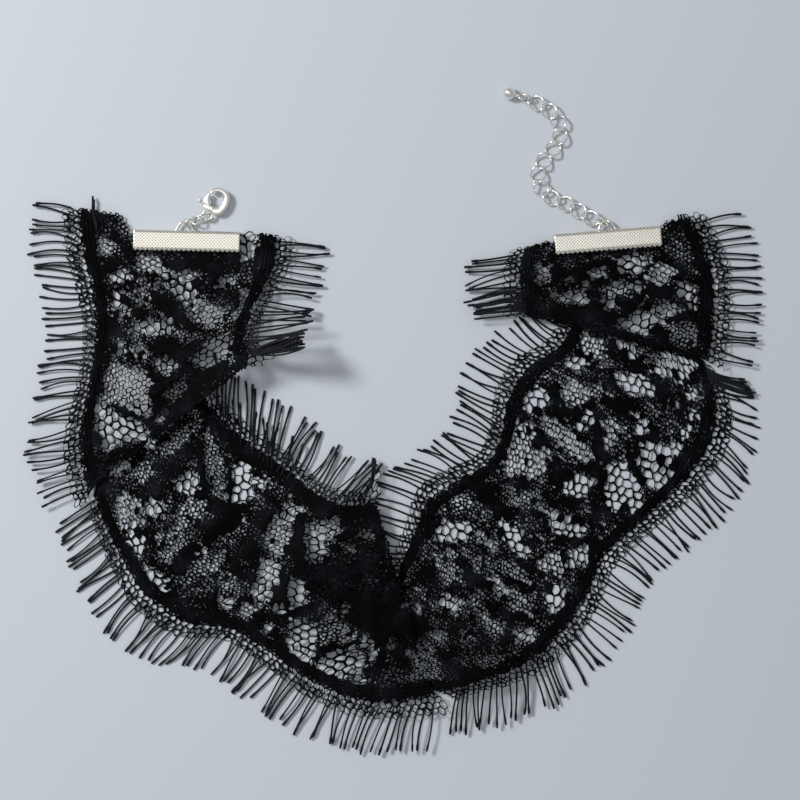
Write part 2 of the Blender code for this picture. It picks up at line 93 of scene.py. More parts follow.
RIGHT = (
    (9.6, -67.4, -23.3, -40.1, 178, 160, 0, 0, 0),
    (14.2, -66.4, -11.9, -42.6, 183, 171, 1.5, 0.4, 0),
    (19.3, -64.9, -0.3, -43.6, 188, 183, 3, 1.5, 0),
    (26.1, -62.4, 3.8, -36.5, 195.5, 191, 3, 1.5, 0),
    (33, -58.8, 7.1, -29.9, 203, 198.5, 1.5, 0.8, 0),
    (40.6, -52.5, 11.4, -21, 213, 208, 0, 0, 0),
    (47.7, -43.6, 19.3, -15.7, 224, 218, 0, 0, 0),
    (53, -32.4, 25.4, -11.4, 236.5, 225, 0, 0, 0),
    (62.9, -22.8, 29.2, -4.6, 250, 233, 0, 0, 0),
    (72, -14.2, 31.9, 5.1, 262.5, 243, 0, 0, 0),
    (78.6, -4.6, 37.5, 13.2, 274, 253.5, 0, 0, 0),
    (80.4, 4.3, 44.1, 18.3, 283, 262, 0, 0, 0),
    (79.3, 11.2, 48.2, 26.4, 290, 272, 0, 0, 0),
    (77.6, 16.5, 50.7, 39, 296, 289, 0, 0, 0),
)
END = (
    (77.6, 16.5, 35.2, 26.4, 296, 309, 1.4, 2.2, 2.8),
    (79.1, 25.9, 34.7, 31.9, 305.5, 315, 0.8, 2, 2.4),
    (79.3, 36, 34.5, 38, 315.5, 321.5, 0.3, 1.8, 1.9),
    (77.3, 44.1, 35.2, 42.1, 324, 327, 0.3, 0.8, 0.8),
    (73.8, 50.7, 36.3, 45.1, 331, 331, 0.8, 0.8, 0.8),
)


# The hidden layer of a pleat, which runs back under from the end of one stretch to the start of the next.
# It lies below the stretch on top of it, and above the one underneath.
BELOW = -0.25
ABOVE = 0.3
LOWEST_LAYER = 0.2


def hidden_layer(first, last, first_moved, last_moved):
    return tuple(
        row[:6] + tuple(max(height + moved, LOWEST_LAYER) for height in row[6:])
        for row, moved in ((first, first_moved), (last, last_moved))
    )


STRETCHES = {
    "lace_left": LEFT,
    "pleat_left": hidden_layer(LEFT[-1], MIDDLE[0], BELOW, ABOVE),
    "lace_middle": MIDDLE,
    "pleat_bottom": hidden_layer(MIDDLE[-1], RIGHT[0], BELOW, ABOVE),
    "lace_right": RIGHT,
    "pleat_right": hidden_layer(RIGHT[-1], END[0], ABOVE, BELOW),
    "lace_right_end": END,
}
# Soft creases and puckers pressed into the cloth by hand, uneven in length, depth and spacing.
# Columns: start x, y; end x, y; half width; height.
CREASES = (
    (-69, 38, -45, 31, 2.6, 0.7), (-72, 20, -50, 14, 2.2, 0.5), (-66, 4, -44, 17, 2.4, 0.9),
    (-70, -8, -56, 2, 1.8, 0.6), (-50, -16, -44, -2, 1.8, 0.8), (-66, -24, -52, -12, 2.2, 0.5),
    (-58, -36, -40, -22, 2.6, 0.8), (-44, -44, -30, -24, 2, 0.6),
    (-28, -50, -22, -28, 2.4, 0.8), (-18, -58, -12, -34, 2.2, 0.7),
    (-6, -60, -4, -34, 2, 1),
    (16.7, -14.4, 24.8, -18, 1.8, 1.2), (24.8, -18, 30.7, -23.1, 1.8, 0.9), (12, -30, 26, -46, 1.8, 0.9),
    (20, -28, 34, -44, 2, 0.7), (30, -14, 44, -26, 2.4, 0.7), (34, 2, 56, -10, 2.2, 0.6),
    (42, 12, 66, 2, 2.4, 0.8), (50, 24, 72, 14, 2, 0.6), (60, -6, 72, -14, 2, 0.5),
    (42, 34, 66, 30, 2, 0.5), (48, 28, 72, 24, 1.8, 0.6), (20.5, -50.4, 16, -56.5, 1.6, 1.2),
)


# A smooth run through one column of a table, at places counted in rows, straight beyond both ends
def run(rows, column, place, curved=True):
    values = np.array([row[column] for row in rows])
    slopes = np.gradient(values)
    i = np.clip(np.floor(place).astype(int), 0, len(rows) - 2)
    x = place - i
    straight = values[i] + (values[i + 1] - values[i]) * x
    if not curved or len(rows) < 3:
        return straight
    smooth = (
        (2 * x ** 3 - 3 * x ** 2 + 1) * values[i] + (x ** 3 - 2 * x ** 2 + x) * slopes[i]
        + (3 * x ** 2 - 2 * x ** 3) * values[i + 1] + (x ** 3 - x ** 2) * slopes[i + 1]
    )
    before = values[i] + slopes[i] * x
    after = values[i + 1] + slopes[i + 1] * (x - 1)
    return np.where(x < 0, before, np.where(x > 1, after, smooth))


# The section of a stretch on which a place along the cut strip falls
def section(rows, along, share):
    inside = np.clip(share, 0, 1)[:, None]
    places = np.array([row[4] for row in rows]) * (1 - inside) + np.array([row[5] for row in rows]) * inside
    i = np.clip((places <= along[:, None]).sum(axis=1) - 1, 0, len(rows) - 2)
    k = np.arange(len(along))
    return i + (along - places[k, i]) / np.maximum(places[k, i + 1] - places[k, i], 0.01)


# A smooth step from 0 to 1
def ease(x):
    x = np.clip(x, 0, 1)
    return x * x * (3 - 2 * x)


# The share of the width at which a stack of folds has its height, how far a crease takes to fade at its ends, how high
# the cloth ripples, and how low it may lie
QUARTER = 0.25
CREASE_FADE = 4
RIPPLE = 0.18
LOWEST = 0.15


# Where points of a stretch lie, from their section and their share of the width
def lay(rows, place, share, lift=0.0):
    x = run(rows, 0, place) * (1 - share) + run(rows, 2, place) * share
    y = run(rows, 1, place) * (1 - share) + run(rows, 3, place) * share
    edge, stack, inner = (run(rows, column, place, False) for column in (6, 7, 8))
    z = edge + (stack - edge) * ease(share / QUARTER) + (inner - stack) * ease((share - QUARTER) / (1 - QUARTER))
    if len(rows) > 2:
        for ax, ay, bx, by, half, height in CREASES:
            length = math.hypot(bx - ax, by - ay)
            along = ((x - ax) * (bx - ax) + (y - ay) * (by - ay)) / length
            aside = ((x - ax) * (by - ay) - (y - ay) * (bx - ax)) / length
            fade = ease(along / CREASE_FADE + 0.5) * ease((length - along) / CREASE_FADE + 0.5)
            z = z + height * np.exp(-((aside / half) ** 2)) * fade
    z = z + RIPPLE * np.sin(x / 3.1 + y / 5.3) * np.sin(y / 3.7 - x / 7.1) + LACE_LIFT + lift
    return np.stack([x + SHIFT[0], y + SHIFT[1], np.maximum(z, LOWEST + lift)], axis=1)


# The open windows between the leaves, as they lie, by the kind of their holes.
# Columns: middle x, y; half length; half width; angle.
WINDOWS = {
    "big": (
        # On the left panel
        (-69.3, 37.5, 2.7, 1.5, -10), (-57.3, 37.7, 1.6, 1.6, 0), (-52.5, 33.4, 2.8, 2.6, 0),
        (-68.7, 31.5, 1.7, 1.9, 0), (-60.3, 23.9, 5.8, 1.7, 5), (-69.1, 17.9, 1.2, 1.7, 0),
        (-57.5, 14.8, 3.2, 2.2, 0), (-68.7, -0.3, 6.4, 5.4, -5), (-62.4, 3.4, 1.4, 1.6, 60),
        (-61.9, -5.3, 1.6, 1.4, -20), (-44.3, 17.7, 6.4, 2.8, 30), (-36.2, 45, 1.5, 3.2, 0),
        # On the middle panel
        (-37.9, -16.2, 2.6, 5.6, 0), (-51.6, -15.3, 3, 2.6, 0), (-64.3, -29.6, 1.9, 3.6, 5),
        (-60, -21.8, 1.9, 1.9, 0), (-61.2, -39.2, 1.7, 1.8, 0), (-58.6, -40.8, 1.2, 1.4, 0),
        (-56.5, -43.8, 1, 1.2, 0), (-42.7, -45.4, 1.5, 1.3, 0), (-30.7, -38.4, 2.6, 3.4, -20),
        (-33, -43, 2.2, 3, -15), (-48.7, -31, 1, 1.6, 0), (-27.9, -47.3, 0.9, 1.1, -30),
        (-31.2, -51.7, 0.8, 1, -30), (-26, -23.3, 1.6, 2.6, -45), (-19.4, -30.8, 2.4, 4.2, -10),
        (-23.4, -43.3, 1.9, 3.3, 0), (-22.1, -55.3, 3.6, 5.4, 0), (-13.8, -62, 5.6, 2.9, 12),
        (-6.8, -55.2, 1.2, 1.4, 0), (-5, -59, 0.7, 0.9, 0), (-6.3, -28.4, 1.9, 1.1, -30),
        (-11.9, -46.9, 1.3, 1, 0), (-0.6, -56, 1.2, 1.5, 0), (6.5, -47.6, 0.6, 1, -20),
        # On the right panel
        (36.9, 5.7, 2.5, 2.6, 0), (34.5, 3.6, 1, 1.2, 0), (49.4, 1.2, 1.5, 1.1, 0), (47.7, -1.4, 0.9, 0.8, 0),
        (50.9, -0.6, 1.1, 0.9, 30), (47.6, -15.5, 3.4, 2.2, 0), (44.3, -26, 5.9, 2.3, -35),
        (47, -34.6, 2.3, 2.2, 20), (41.2, -43.2, 2.3, 2, 30), (41.3, -46.7, 0.9, 1, 0),
        (29.9, -28.8, 1.1, 5, 22), (31.8, -28.2, 1.1, 1.4, 0), (33.2, -32.8, 1.6, 0.9, 0),
        (22.3, -28.5, 0.8, 1.3, 10), (15.6, -27.3, 4.1, 2.4, 10), (11.2, -17.4, 2.4, 1.4, 20),
        (14.4, -45.8, 2.6, 1.6, -25), (34.3, -53.4, 2.9, 1.2, 25), (66.8, -10, 4.6, 6, 10),
        (71, -6.8, 2.6, 1.7, 30), (59.1, -16.4, 4.5, 6.6, 12), (71.6, 13.8, 5, 3.2, -15),
        (61.6, 9.5, 4.8, 2.3, -20), (46.9, 15.5, 1.9, 2, -30), (56.8, 20.9, 1.7, 0.7, -35),
        (60.4, 19.9, 1.5, 1, -10), (61.2, 17.8, 1.1, 0.9, 0), (76.2, 2, 1, 0.8, 0), (76, 6.6, 1.1, 0.9, 0),
        (63.1, -1.6, 1.1, 1.6, 0),
        # On the right end
        (62, 25.6, 4.7, 2.2, 15), (55, 29.6, 2.1, 1.2, -20), (60.6, 39.7, 4.1, 1.9, 10),
        (46.8, 31.9, 1.9, 1.6, 0), (44, 31.3, 1.5, 1, 0), (48.5, 30.4, 1.8, 1.1, 15), (44.9, 36.2, 1.2, 1, 0),
        (39.2, 32.8, 1.1, 0.9, 0), (49.2, 34.5, 1.1, 0.9, 0), (61.6, 34.1, 1.5, 0.8, 10), (73.9, 33.8, 2.8, 1.8, 10),
        (75.9, 30.4, 1, 1.5, 0),
    ),
    "net": (
        # On the left panel
        (-72.7, 45.1, 2, 1.4, 0), (-61.3, 40, 3.6, 2, -5), (-54.3, 35.8, 5, 1.6, 10),
        (-68.6, 28.5, 2, 2.6, -10), (-58, 26.3, 2.4, 1.1, 15), (-46.5, 28, 4.4, 2.6, 5),
        (-63.9, 17.6, 1.9, 1.4, 0), (-66.9, 9.3, 6.3, 4.9, 0), (-57.6, 1.6, 2.2, 1.4, 30),
        (-42, 36, 2.4, 1.1, 15), (-36.3, 31, 1.7, 3.6, 0), (-38.5, 27, 1.2, 1.6, 0),
        (-68.9, -11.8, 2.4, 1.2, 20),
        # On the middle panel
        (-34, -15.7, 1.8, 1, 0), (-66, -24.5, 3.2, 6, 15), (-38.1, -24, 0.8, 1, 0),
        (-36.5, -47, 2.2, 1.4, -20), (-27.8, -27.6, 2.6, 7.2, -18), (-17.5, -27.2, 4.8, 3, 5),
        (-9.3, -61, 1.6, 3.4, 0), (-7.7, -65.7, 1.4, 1.2, 0), (-1, -67.4, 1.6, 0.8, 0),
        (-11.5, -32, 1.4, 0.9, 0), (4.2, -58, 0.9, 1.1, 0), (3.3, -46.7, 0.8, 0.8, 0),
        # On the right panel
        (32.9, -4.8, 2.9, 4, -15), (34, -10.2, 5.4, 3.4, 8), (44.3, -4.8, 8.2, 1.9, -38),
        (46.4, 7.6, 3.6, 2.7, -30), (55, -1.6, 2.4, 1.7, -20), (54.6, -5.2, 1.9, 1.7, 0),
        (39, -21.5, 2.8, 1.1, -35), (41.2, -36, 4.1, 2, 0), (48.3, -31.4, 1.5, 0.5, 0),
        (27.3, -42.4, 3.5, 0.9, -40), (24.9, -30.9, 0.8, 2.1, 25), (18.9, -53.2, 1, 1.3, 0),
        (51, 19.6, 3.4, 2.4, -35), (71.3, 4.5, 1.5, 0.7, 0), (61.2, 1.6, 1.9, 0.8, -35),
        (74.5, -2.4, 1.2, 1.3, -30),
        # On the right end
        (68.3, 28, 4.4, 2.1, 25), (55.9, 32.6, 3.1, 2.1, -10), (67.6, 38, 3.1, 2.3, 20),
        (52.1, 37.3, 2.2, 1.1, 15), (41.3, 32.1, 1.4, 1, -20), (38.4, 38.2, 1.8, 2.6, -20),
        (62.7, 31.1, 1.7, 0.9, 30),
    ),
    # Where the surface below lies in the shade of raised lace, the windows are of fine net: their darkness there is
    # partly the net's own and partly painted shade
    "fine": (
        # On the left panel
        (-65.3, 31.9, 4.8, 2.4, 40), (-52.4, 22.8, 3.6, 2.1, -10), (-54.6, 7.8, 3.6, 2, 40),
        (-42, 15.7, 4, 2, 40), (-63, -13, 3.4, 1.7, 25),
        # On the middle panel
        (-54.3, -4, 6.4, 1.3, 42), (-44.7, -11.7, 2.6, 7.6, 11), (-50.8, -22.4, 4.2, 3, 30),
        (-55.1, -29.1, 4.4, 2.8, 30), (-56.7, -33.8, 2.6, 1.8, 30), (-50.7, -38.4, 4.2, 1.2, 50),
        (-42.3, -42, 2, 4, 0), (-45.5, -35.9, 4, 0.9, 50), (-14.9, -52.8, 4.6, 3, -20),
        (7.8, -60.5, 3.2, 5, 0),
        # On the right panel
        (43.4, -7.4, 3.6, 1.2, -38), (53, 7, 3.8, 1.6, -50), (34.3, -19.6, 4.8, 1.7, -8),
        (32.9, -45.6, 3, 2.6, -20), (30.5, -38.2, 4.3, 1.2, -35), (21.8, -35.8, 2.5, 1.9, -45),
        (17, -19, 3, 1.7, -20), (14, -36.8, 2.7, 4.3, 15), (21.2, -45.7, 7.5, 1.2, -58),
        (26.6, -52, 2.2, 1.8, -30), (11.5, -53.5, 2.1, 0.9, 0), (66.8, 15.6, 2.2, 2.8, -30),
        (54, 15.6, 2.4, 1.4, -45),
        # On the right end
        (64.5, 23.3, 2.6, 1.3, 40), (73.9, 21.7, 4, 3.4, -10),
    ),
}
# The solid veins and stems of the leaves, as they lie. Columns: start x, y; end x, y; width.
VEINS = (
    # On the left panel
    (-59.5, 31, -53.5, 27, 4), (-54, 27.5, -50.5, 23.5, 2.2), (-54, 17.5, -49, 20.5, 2.6),
    (-69.5, 4.4, -63.5, 1.9, 2), (-56.5, 0.5, -50, 9, 2.4), (-50, 9, -41.5, 14.2, 2.6),
    (-75, 38.5, -69.5, 41, 3), (-57, 39.5, -44, 40, 2.6),
    # On the middle panel
    (-48.8, -5, -47.9, -19, 2), (-41.4, -9, -40.6, -19.5, 1.6), (-43, -2.5, -39.5, -5, 2.5),
    (-39, -7.5, -31, -11.5, 3), (-46.5, -21, -36, -22.5, 2.6), (-46.5, -27.5, -39, -25, 3.6),
    (-55, -37, -50.5, -31, 4), (-64.5, -42, -60, -47.5, 3.2), (-23.5, -23.5, -23.3, -37.5, 2.6),
    (-27, -37.5, -27.3, -45, 2.4), (-24, -48.5, -19, -46.5, 2.4), (-29.5, -52.5, -26.5, -62, 2.8),
    (-18.5, -58.3, -13, -56, 1.5), (-14, -29, -11, -27, 2.2), (-4.5, -21, -3, -33, 2.2),
    (-9, -45, 3, -49.5, 5), (-6, -51, 8, -51, 4), (-4, -54, -2.8, -59.5, 2.4),
    # On the right panel
    (20.5, -15.5, 27, -21.5, 2.6), (26, -19.5, 31, -24, 2.8), (18.5, -38, 19.8, -43, 2),
    (20.5, -39.5, 24.5, -41.5, 2), (32, -36, 35, -38, 2.2), (36, -22.3, 38.5, -23, 1.8),
    (41, -30.2, 52, -30.6, 1.8), (50.5, -11, 53.5, -13, 3.6), (41.5, 2.7, 46.5, 2.2, 2.6),
    (36.5, -2.5, 38.5, -5.5, 2), (51.5, 1, 52.5, -9.5, 2), (29, -48, 36, -50, 1.8),
    (55.5, 22.6, 65.5, 20.8, 1.8), (66, 20.5, 70, 19, 1.8), (54, 5, 60.5, 3, 2.6),
    (61.5, -3.8, 67, -4.2, 1.2), (65.5, -1, 67, -3.6, 2.4), (52.5, -4, 54, -9.5, 2),
    (60.8, -9.5, 63.3, -14, 2.2), (71.5, -11, 75, -7.5, 3), (41, 9, 41.5, 4.5, 2.2),
    (50, 5.5, 50.8, 2.5, 1.8), (67, 8, 69, 6, 2),
    # On the right end
    (55, 22.9, 65.5, 21, 2), (66, 24.2, 69.5, 22.4, 2.2), (40, 27.4, 52, 26.4, 2.6),
    (41, 38.8, 44.5, 38, 2.4), (57.5, 30.6, 61, 29.4, 2.6), (63.5, 33, 70.5, 33.4, 2.4),
    (52, 40.4, 56.5, 39.2, 2.4), (70, 26.5, 74, 27.5, 2.2),
)


# Which points fall in a window of certain kinds, let out by so much. Its rim wavers as the edge of a leaf does.
def in_windows(x, y, kinds, out):
    inside = np.zeros(len(x), bool)
    for cx, cy, half_long, half_wide, angle in (row for kind in kinds for row in WINDOWS[kind]):
        c, s = math.cos(math.radians(angle)), math.sin(math.radians(angle))
        a = ((x - cx) * c + (y - cy) * s) / (half_long + out)
        b = (-(x - cx) * s + (y - cy) * c) / (half_wide + out)
        turn = np.arctan2(b, a)
        waver = 1 + 0.14 * np.sin(4 * turn + cx) + 0.09 * np.sin(7 * turn + cy)
        inside |= np.hypot(a, b) * waver < 1
    return inside


# Which points fall on a vein, which is thickest half-way along
def in_veins(x, y):
    inside = np.zeros(len(x), bool)
    for ax, ay, bx, by, wide in VEINS:
        length = math.hypot(bx - ax, by - ay)
        along = np.clip(((x - ax) * (bx - ax) + (y - ay) * (by - ay)) / length / length, 0, 1)
        aside = np.hypot(x - ax - along * (bx - ax), y - ay - along * (by - ay))
        inside |= aside < wide / 2 * (1.1 - 0.6 * np.abs(along - 0.5))
    return inside


# An even scatter of numbers from 0 to 1, the same in every run
def scatter(a, b, seed):
    return np.abs(np.sin(np.round(a, 2) * 12.9898 + np.round(b, 2) * 78.233 + seed * 37.719) * 43758.5453) % 1.0


# A honeycomb over a stretch of the cut strip: two cells, doubled along and across until they cover it
def honeycomb(pitch, start, stop, low, high):
    bm = bmesh.new()
    rise = pitch * math.sqrt(3)
    start = math.floor(start / pitch) * pitch
    low = math.floor(low / rise) * rise
    for x, y in ((0, 0), (pitch / 2, rise / 2)):
        place = Matrix.Translation((start + x, low + y, 0))
        bmesh.ops.create_circle(bm, cap_ends=True, segments=6, radius=pitch / math.sqrt(3), matrix=place)
    for direction, step, reach in ((Vector((1, 0, 0)), pitch, stop - start), (Vector((0, 1, 0)), rise, high - low)):
        while step < reach:
            copy = bmesh.ops.duplicate(bm, geom=bm.verts[:] + bm.edges[:] + bm.faces[:])["geom"]
            moved = [v for v in copy if isinstance(v, bmesh.types.BMVert)]
            bmesh.ops.translate(bm, verts=moved, vec=direction * step)
            step *= 2
    bmesh.ops.remove_doubles(bm, verts=bm.verts, dist=pitch * 0.02)
    return bm


# The two cut ends. Columns: a share of the width, and the section where the lace starts or stops.
CUTS = {
    "lace_left": ((-0.13, 0.0), (0.20, 0.0), (0.25, 0.5), (0.86, 0.22), (0.93, 0.0), (1.13, 0.0)),
    "lace_right_end": ((-0.13, 4.25), (0.10, 4.3), (0.155, 3.85), (0.88, 4.0), (0.93, 4.05), (1.13, 3.6)),
}


def cut_end(name, share):
    return np.interp(share, *np.array(CUTS[name]).T)


# Where a panel lies under the fold of the next one: beyond the line a x + b y = c. Columns: a, b, c.
UNDER = {"lace_middle": ((-0.77, 1.0, 43.0),), "lace_right": ((-1.0, -0.289, 10.7), (0.2335, 1.0, 35.4))}
# The weights of the lace. The real net has holes of some 0.6 mm where it is finest, too fine for the picture, so the
# smallest are drawn 1.0 to 1.15 mm apart. Columns: kind, pitch of the holes, strand round a hole, how far it stands up.
WEIGHTS = (
    ("net", 1.5, 0.15, 0.0), ("big", 2.4, 0.23, 0.02), ("fine", 1.15, 0.19, 0.04), ("cloth", 1.0, 0.25, 0.08),
    ("edge", 1.6, 0.22, 0.0),
)
# The kinds of hole that come before each of the open kinds where windows meet
COME_FIRST = {"big": (), "net": ("big",), "fine": ("big", "net")}
# In shares of the width: how far to each side of its line a border is solid, but for some pinholes; how far past
# that line the cloth goes; where the net outside it starts; and how far inside it the windows stop
BORDER = 0.03
CLOTH_PAST = 0.05
NET_PAST = 0.01
WINDOW_STOP = 0.015
# The share of the cells that are open in a border, and closed in a window
PINHOLES = 0.2
CLOGGED = 0.05
# In millimetres: how far the cloth stands back from a window, and one kind of net from the next
LET_OUT = 0.5
NETS_APART = 0.2
# The same where the strip lies folded below: there all the kinds are left open
LET_OUT_BELOW = 0.3
# How ragged the cut ends are, in sections
RAGGED = 0.06
# The strand round a hole is thin, middling or thick, as a share of its weight's own
STRANDS = (0.6, 0.9, 1.25)


# Which cells of one weight belong to a stretch, which of them stay closed, and a chance for each
def chosen(name, rows, kind, pitch, along, across):
    share = across / LACE_WIDTH
    place = section(rows, along, share)
    x, y, _ = lay(rows, place, share).T
    inside = np.clip(share, 0, 1)
    length = (rows[-1][4] - rows[0][4]) * (1 - inside) + (rows[-1][5] - rows[0][5]) * inside
    slack = pitch / np.maximum(length / (len(rows) - 1), 1)
    keep = (place > -slack) & (place < len(rows) - 1 + slack) & (length > 0.5)
    if name in CUTS:
        ragged = RAGGED * scatter(along, across, 3)
        starts = name == "lace_left"
        keep &= (place > cut_end(name, share) + ragged) if starts else (place < cut_end(name, share) - ragged)
    hidden = np.full(len(x), name.startswith("pleat"))
    for a, b, c in UNDER.get(name, ()):
        hidden |= a * x + b * y > c
    chance = scatter(along, across, 1)
    closed = np.zeros(len(x), bool)
    # Machine lace has an edge of net, cloth-work for its leaves, and open net in its windows
    if kind == "edge":
        keep &= (share > -NET - NET_PAST) & (share < 1 + NET + NET_PAST)
        keep &= (share < -NET_PAST) | (share > 1 + NET_PAST)
    elif kind == "cloth":
        border = ((np.abs(share) < BORDER) | (np.abs(share - 1) < BORDER)) & ~hidden
        vein = in_veins(x, y)
        keep &= border | ~in_windows(x, y, WINDOWS, LET_OUT) | vein
        keep &= (share > -CLOTH_PAST) & (share < 1 + CLOTH_PAST)
        # The leaves are worked thick and thin by turns, in patches a few millimetres across
        thick = np.sin(along / 2.3 + 1.7 * np.sin(across / 3.1)) * np.sin(across / 2.7 + 1.3 * np.sin(along / 3.7))
        thick = 0.5 + 0.5 * thick
        closed = (border & (chance < 1 - PINHOLES)) | (chance < np.clip(1.5 * thick - 0.45, 0.06, 0.85)) | vein
    else:
        keep &= in_windows(x, y, (kind,), LET_OUT + pitch * 0.45) & (np.abs(share - 0.5) < 0.5 - WINDOW_STOP)
        keep &= ~in_windows(x, y, COME_FIRST[kind], NETS_APART)
        closed = chance < CLOGGED
    # The folds lie with their open places together, so that the surface below shows through them
    keep &= ~(hidden & in_windows(x, y, WINDOWS, LET_OUT_BELOW))
    return keep, closed & ~hidden, np.where(hidden, 0.0, chance)


# How much larger the flat honeycomb is than the stretch, along and across
ROOM_ALONG = 4
ROOM_ACROSS = 2


# The lace of one weight on a stretch, cut from a flat honeycomb, its holes opened, and laid in place
def weight(name, rows, kind, pitch, strand, lift):
    ends = [rows[0][4], rows[0][5], rows[-1][4], rows[-1][5]]
    low, high = -NET * LACE_WIDTH - ROOM_ACROSS, (1 + NET) * LACE_WIDTH + ROOM_ACROSS
    bm = honeycomb(pitch, min(ends) - ROOM_ALONG, max(ends) + ROOM_ALONG, low, high)
    faces = bm.faces[:]
    middles = np.array([face.calc_center_median()[:2] for face in faces])
    keep, closed, chance = chosen(name, rows, kind, pitch, middles[:, 0], middles[:, 1])
    gone = [face for face, kept in zip(faces, keep) if not kept]
    for third, thickness in enumerate(STRANDS):
        holes = [
            face for face, kept, shut, c in zip(faces, keep, closed, chance)
            if kept and not shut and int(c * 2.999) == third
        ]
        if holes:
            bmesh.ops.inset_individual(bm, faces=holes, thickness=strand * thickness, use_even_offset=True)
            gone += holes
    bmesh.ops.delete(bm, geom=gone, context="FACES")
    # Where the strip is folded, the stretch ends on a straight line across it
    for row, side in ((rows[0], -1), (rows[-1], 1)):
        if name in CUTS and (side < 0) == (name == "lace_left"):
            continue
        bmesh.ops.bisect_plane(
            bm, geom=bm.verts[:] + bm.edges[:] + bm.faces[:], dist=0.001, plane_co=(row[4], 0, 0),
            plane_no=Vector((LACE_WIDTH, row[4] - row[5], 0)) * side, clear_outer=True,
        )
    # Machine lace never stays square: its holes are pulled about, but less near a fold
    along, across = np.array([vert.co[:2] for vert in bm.verts]).reshape(-1, 2).T
    place = section(rows, along, across / LACE_WIDTH)
    loose = ease(place * 2) * ease((len(rows) - 1 - place) * 2)
    pull = 0.25 * np.sin(1.9 * across + 0.8 * along) + 0.1 * np.sin(4.1 * across - 2.7 * along)
    along = along + loose * (pull + 0.6 * np.sin(along / 9.0 + across / 6.0))
    across = across + 0.25 * np.sin(1.7 * along - 1.1 * across) + 0.1 * np.sin(3.9 * along + 2.3 * across)
    across = across + 0.3 * np.sin(along / 7.0 - across / 5.0)
    share = across / LACE_WIDTH
    for vert, at in zip(bm.verts, lay(rows, section(rows, along, share), share, lift)):
        vert.co = at
    return bm


# Threads along lines of points, as one mesh
def threads(paths, radii, sides=1, closed=False):
    curve = bpy.data.curves.new("threads", "CURVE")
    curve.dimensions = "3D"
    curve.bevel_depth = 1.0
    curve.bevel_resolution = sides
    curve.use_fill_caps = not closed
    for path, radius in zip(paths, radii):
        spline = curve.splines.new("POLY")
        spline.points.add(len(path) - 1)
        spline.points.foreach_set("co", np.column_stack([path, np.ones(len(path))]).ravel())
        spline.points.foreach_set("radius", np.asarray(radius, float))
        spline.use_cyclic_u = closed
    holder = bpy.data.objects.new("threads", curve)
    bpy.context.scene.collection.objects.link(holder)
    bpy.context.view_layer.update()
    mesh = bpy.data.meshes.new_from_object(holder.evaluated_get(bpy.context.evaluated_depsgraph_get()))
    bm = bmesh.new()
    bm.from_mesh(mesh)
    bpy.data.objects.remove(holder, do_unlink=True)
    bpy.data.curves.remove(curve)
    bpy.data.meshes.remove(mesh)
    return bm


# Several shapes as one, in one mesh
def together(*shapes):
    bm = bmesh.new()
    for shape in shapes:
        mesh = bpy.data.meshes.new("part")
        shape.to_mesh(mesh)
        shape.free()
        bm.from_mesh(mesh)
        bpy.data.meshes.remove(mesh)
    return bm


# A finished piece: its place is in its mesh, its object sits at the origin, and it moves with its body.
# It stands for the plain solid of its name, if there is one.
def finished(name, bm, body, material, stands_for=True):
    bmesh.ops.transform(bm, matrix=Matrix.Scale(MM, 4), verts=bm.verts)
    mesh = bpy.data.meshes.new(name)
    bm.to_mesh(mesh)
    bm.free()
    mesh.polygons.foreach_set("use_smooth", [True] * len(mesh.polygons))
    mesh.materials.append(material)
    obj = bpy.data.objects.new(name + "_visual", mesh)
    bpy.context.scene.collection.objects.link(obj)
    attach(obj, body)
    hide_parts(*([name] if stands_for else []))
    return obj


# An sRGB hex colour as linear values
def linear(hex_colour):
    channels = [int(hex_colour[i:i + 2], 16) / 255 for i in (1, 3, 5)]
    return tuple(c / 12.92 if c <= 0.04045 else ((c + 0.055) / 1.055) ** 2.4 for c in channels) + (1.0,)


# Gives inputs of a node their values or links
def connect(material, node, inputs):
    for name, value in inputs.items():
        if isinstance(value, bpy.types.NodeSocket):
            material.node_tree.links.new(value, node.inputs[name])
        else:
            node.inputs[name].default_value = value


# Adds a node with its settings, or the stops of its ramp, and its inputs as values or links
def add_node(material, kind, settings, inputs):
    node = material.node_tree.nodes.new("ShaderNode" + kind)
    for name, value in settings.items():
        if name == "stops":
            for stop, (position, colour) in zip(node.color_ramp.elements, value):
                stop.position, stop.color = position, linear(colour)
        else:
            setattr(node, name, value)
    connect(material, node, inputs)
    return node


# A new material, its shader, and the place of a point on the object
def new_finish(name):
    material = bpy.data.materials.new(name)
    material.use_nodes = True
    where = add_node(material, "TexCoord", {}, {}).outputs["Object"]
    return material, material.node_tree.nodes["Principled BSDF"], where


# Dyed nylon lace yarn: blue-black, dull with a soft sheen. The small grey points of light its fine fibres catch are
# painted into its colour as grey flecks. Yarn fibres are some 0.02 mm, too fine for the picture, so the flecks are
# drawn 0.35 mm across.
lace_yarn, shader, where = new_finish("blue_black_nylon_lace")
flecks = add_node(
    lace_yarn, "TexNoise", {}, {"Vector": where, "Scale": 1500.0, "Detail": 4.0, "Roughness": 0.7, "Distortion": 1.2},
)
patches = add_node(lace_yarn, "TexNoise", {}, {"Vector": where, "Scale": 160.0, "Detail": 2.0})
mixed = add_node(lace_yarn, "Math", {"operation": "MULTIPLY"}, {0: flecks.outputs["Fac"], 1: patches.outputs["Fac"]})
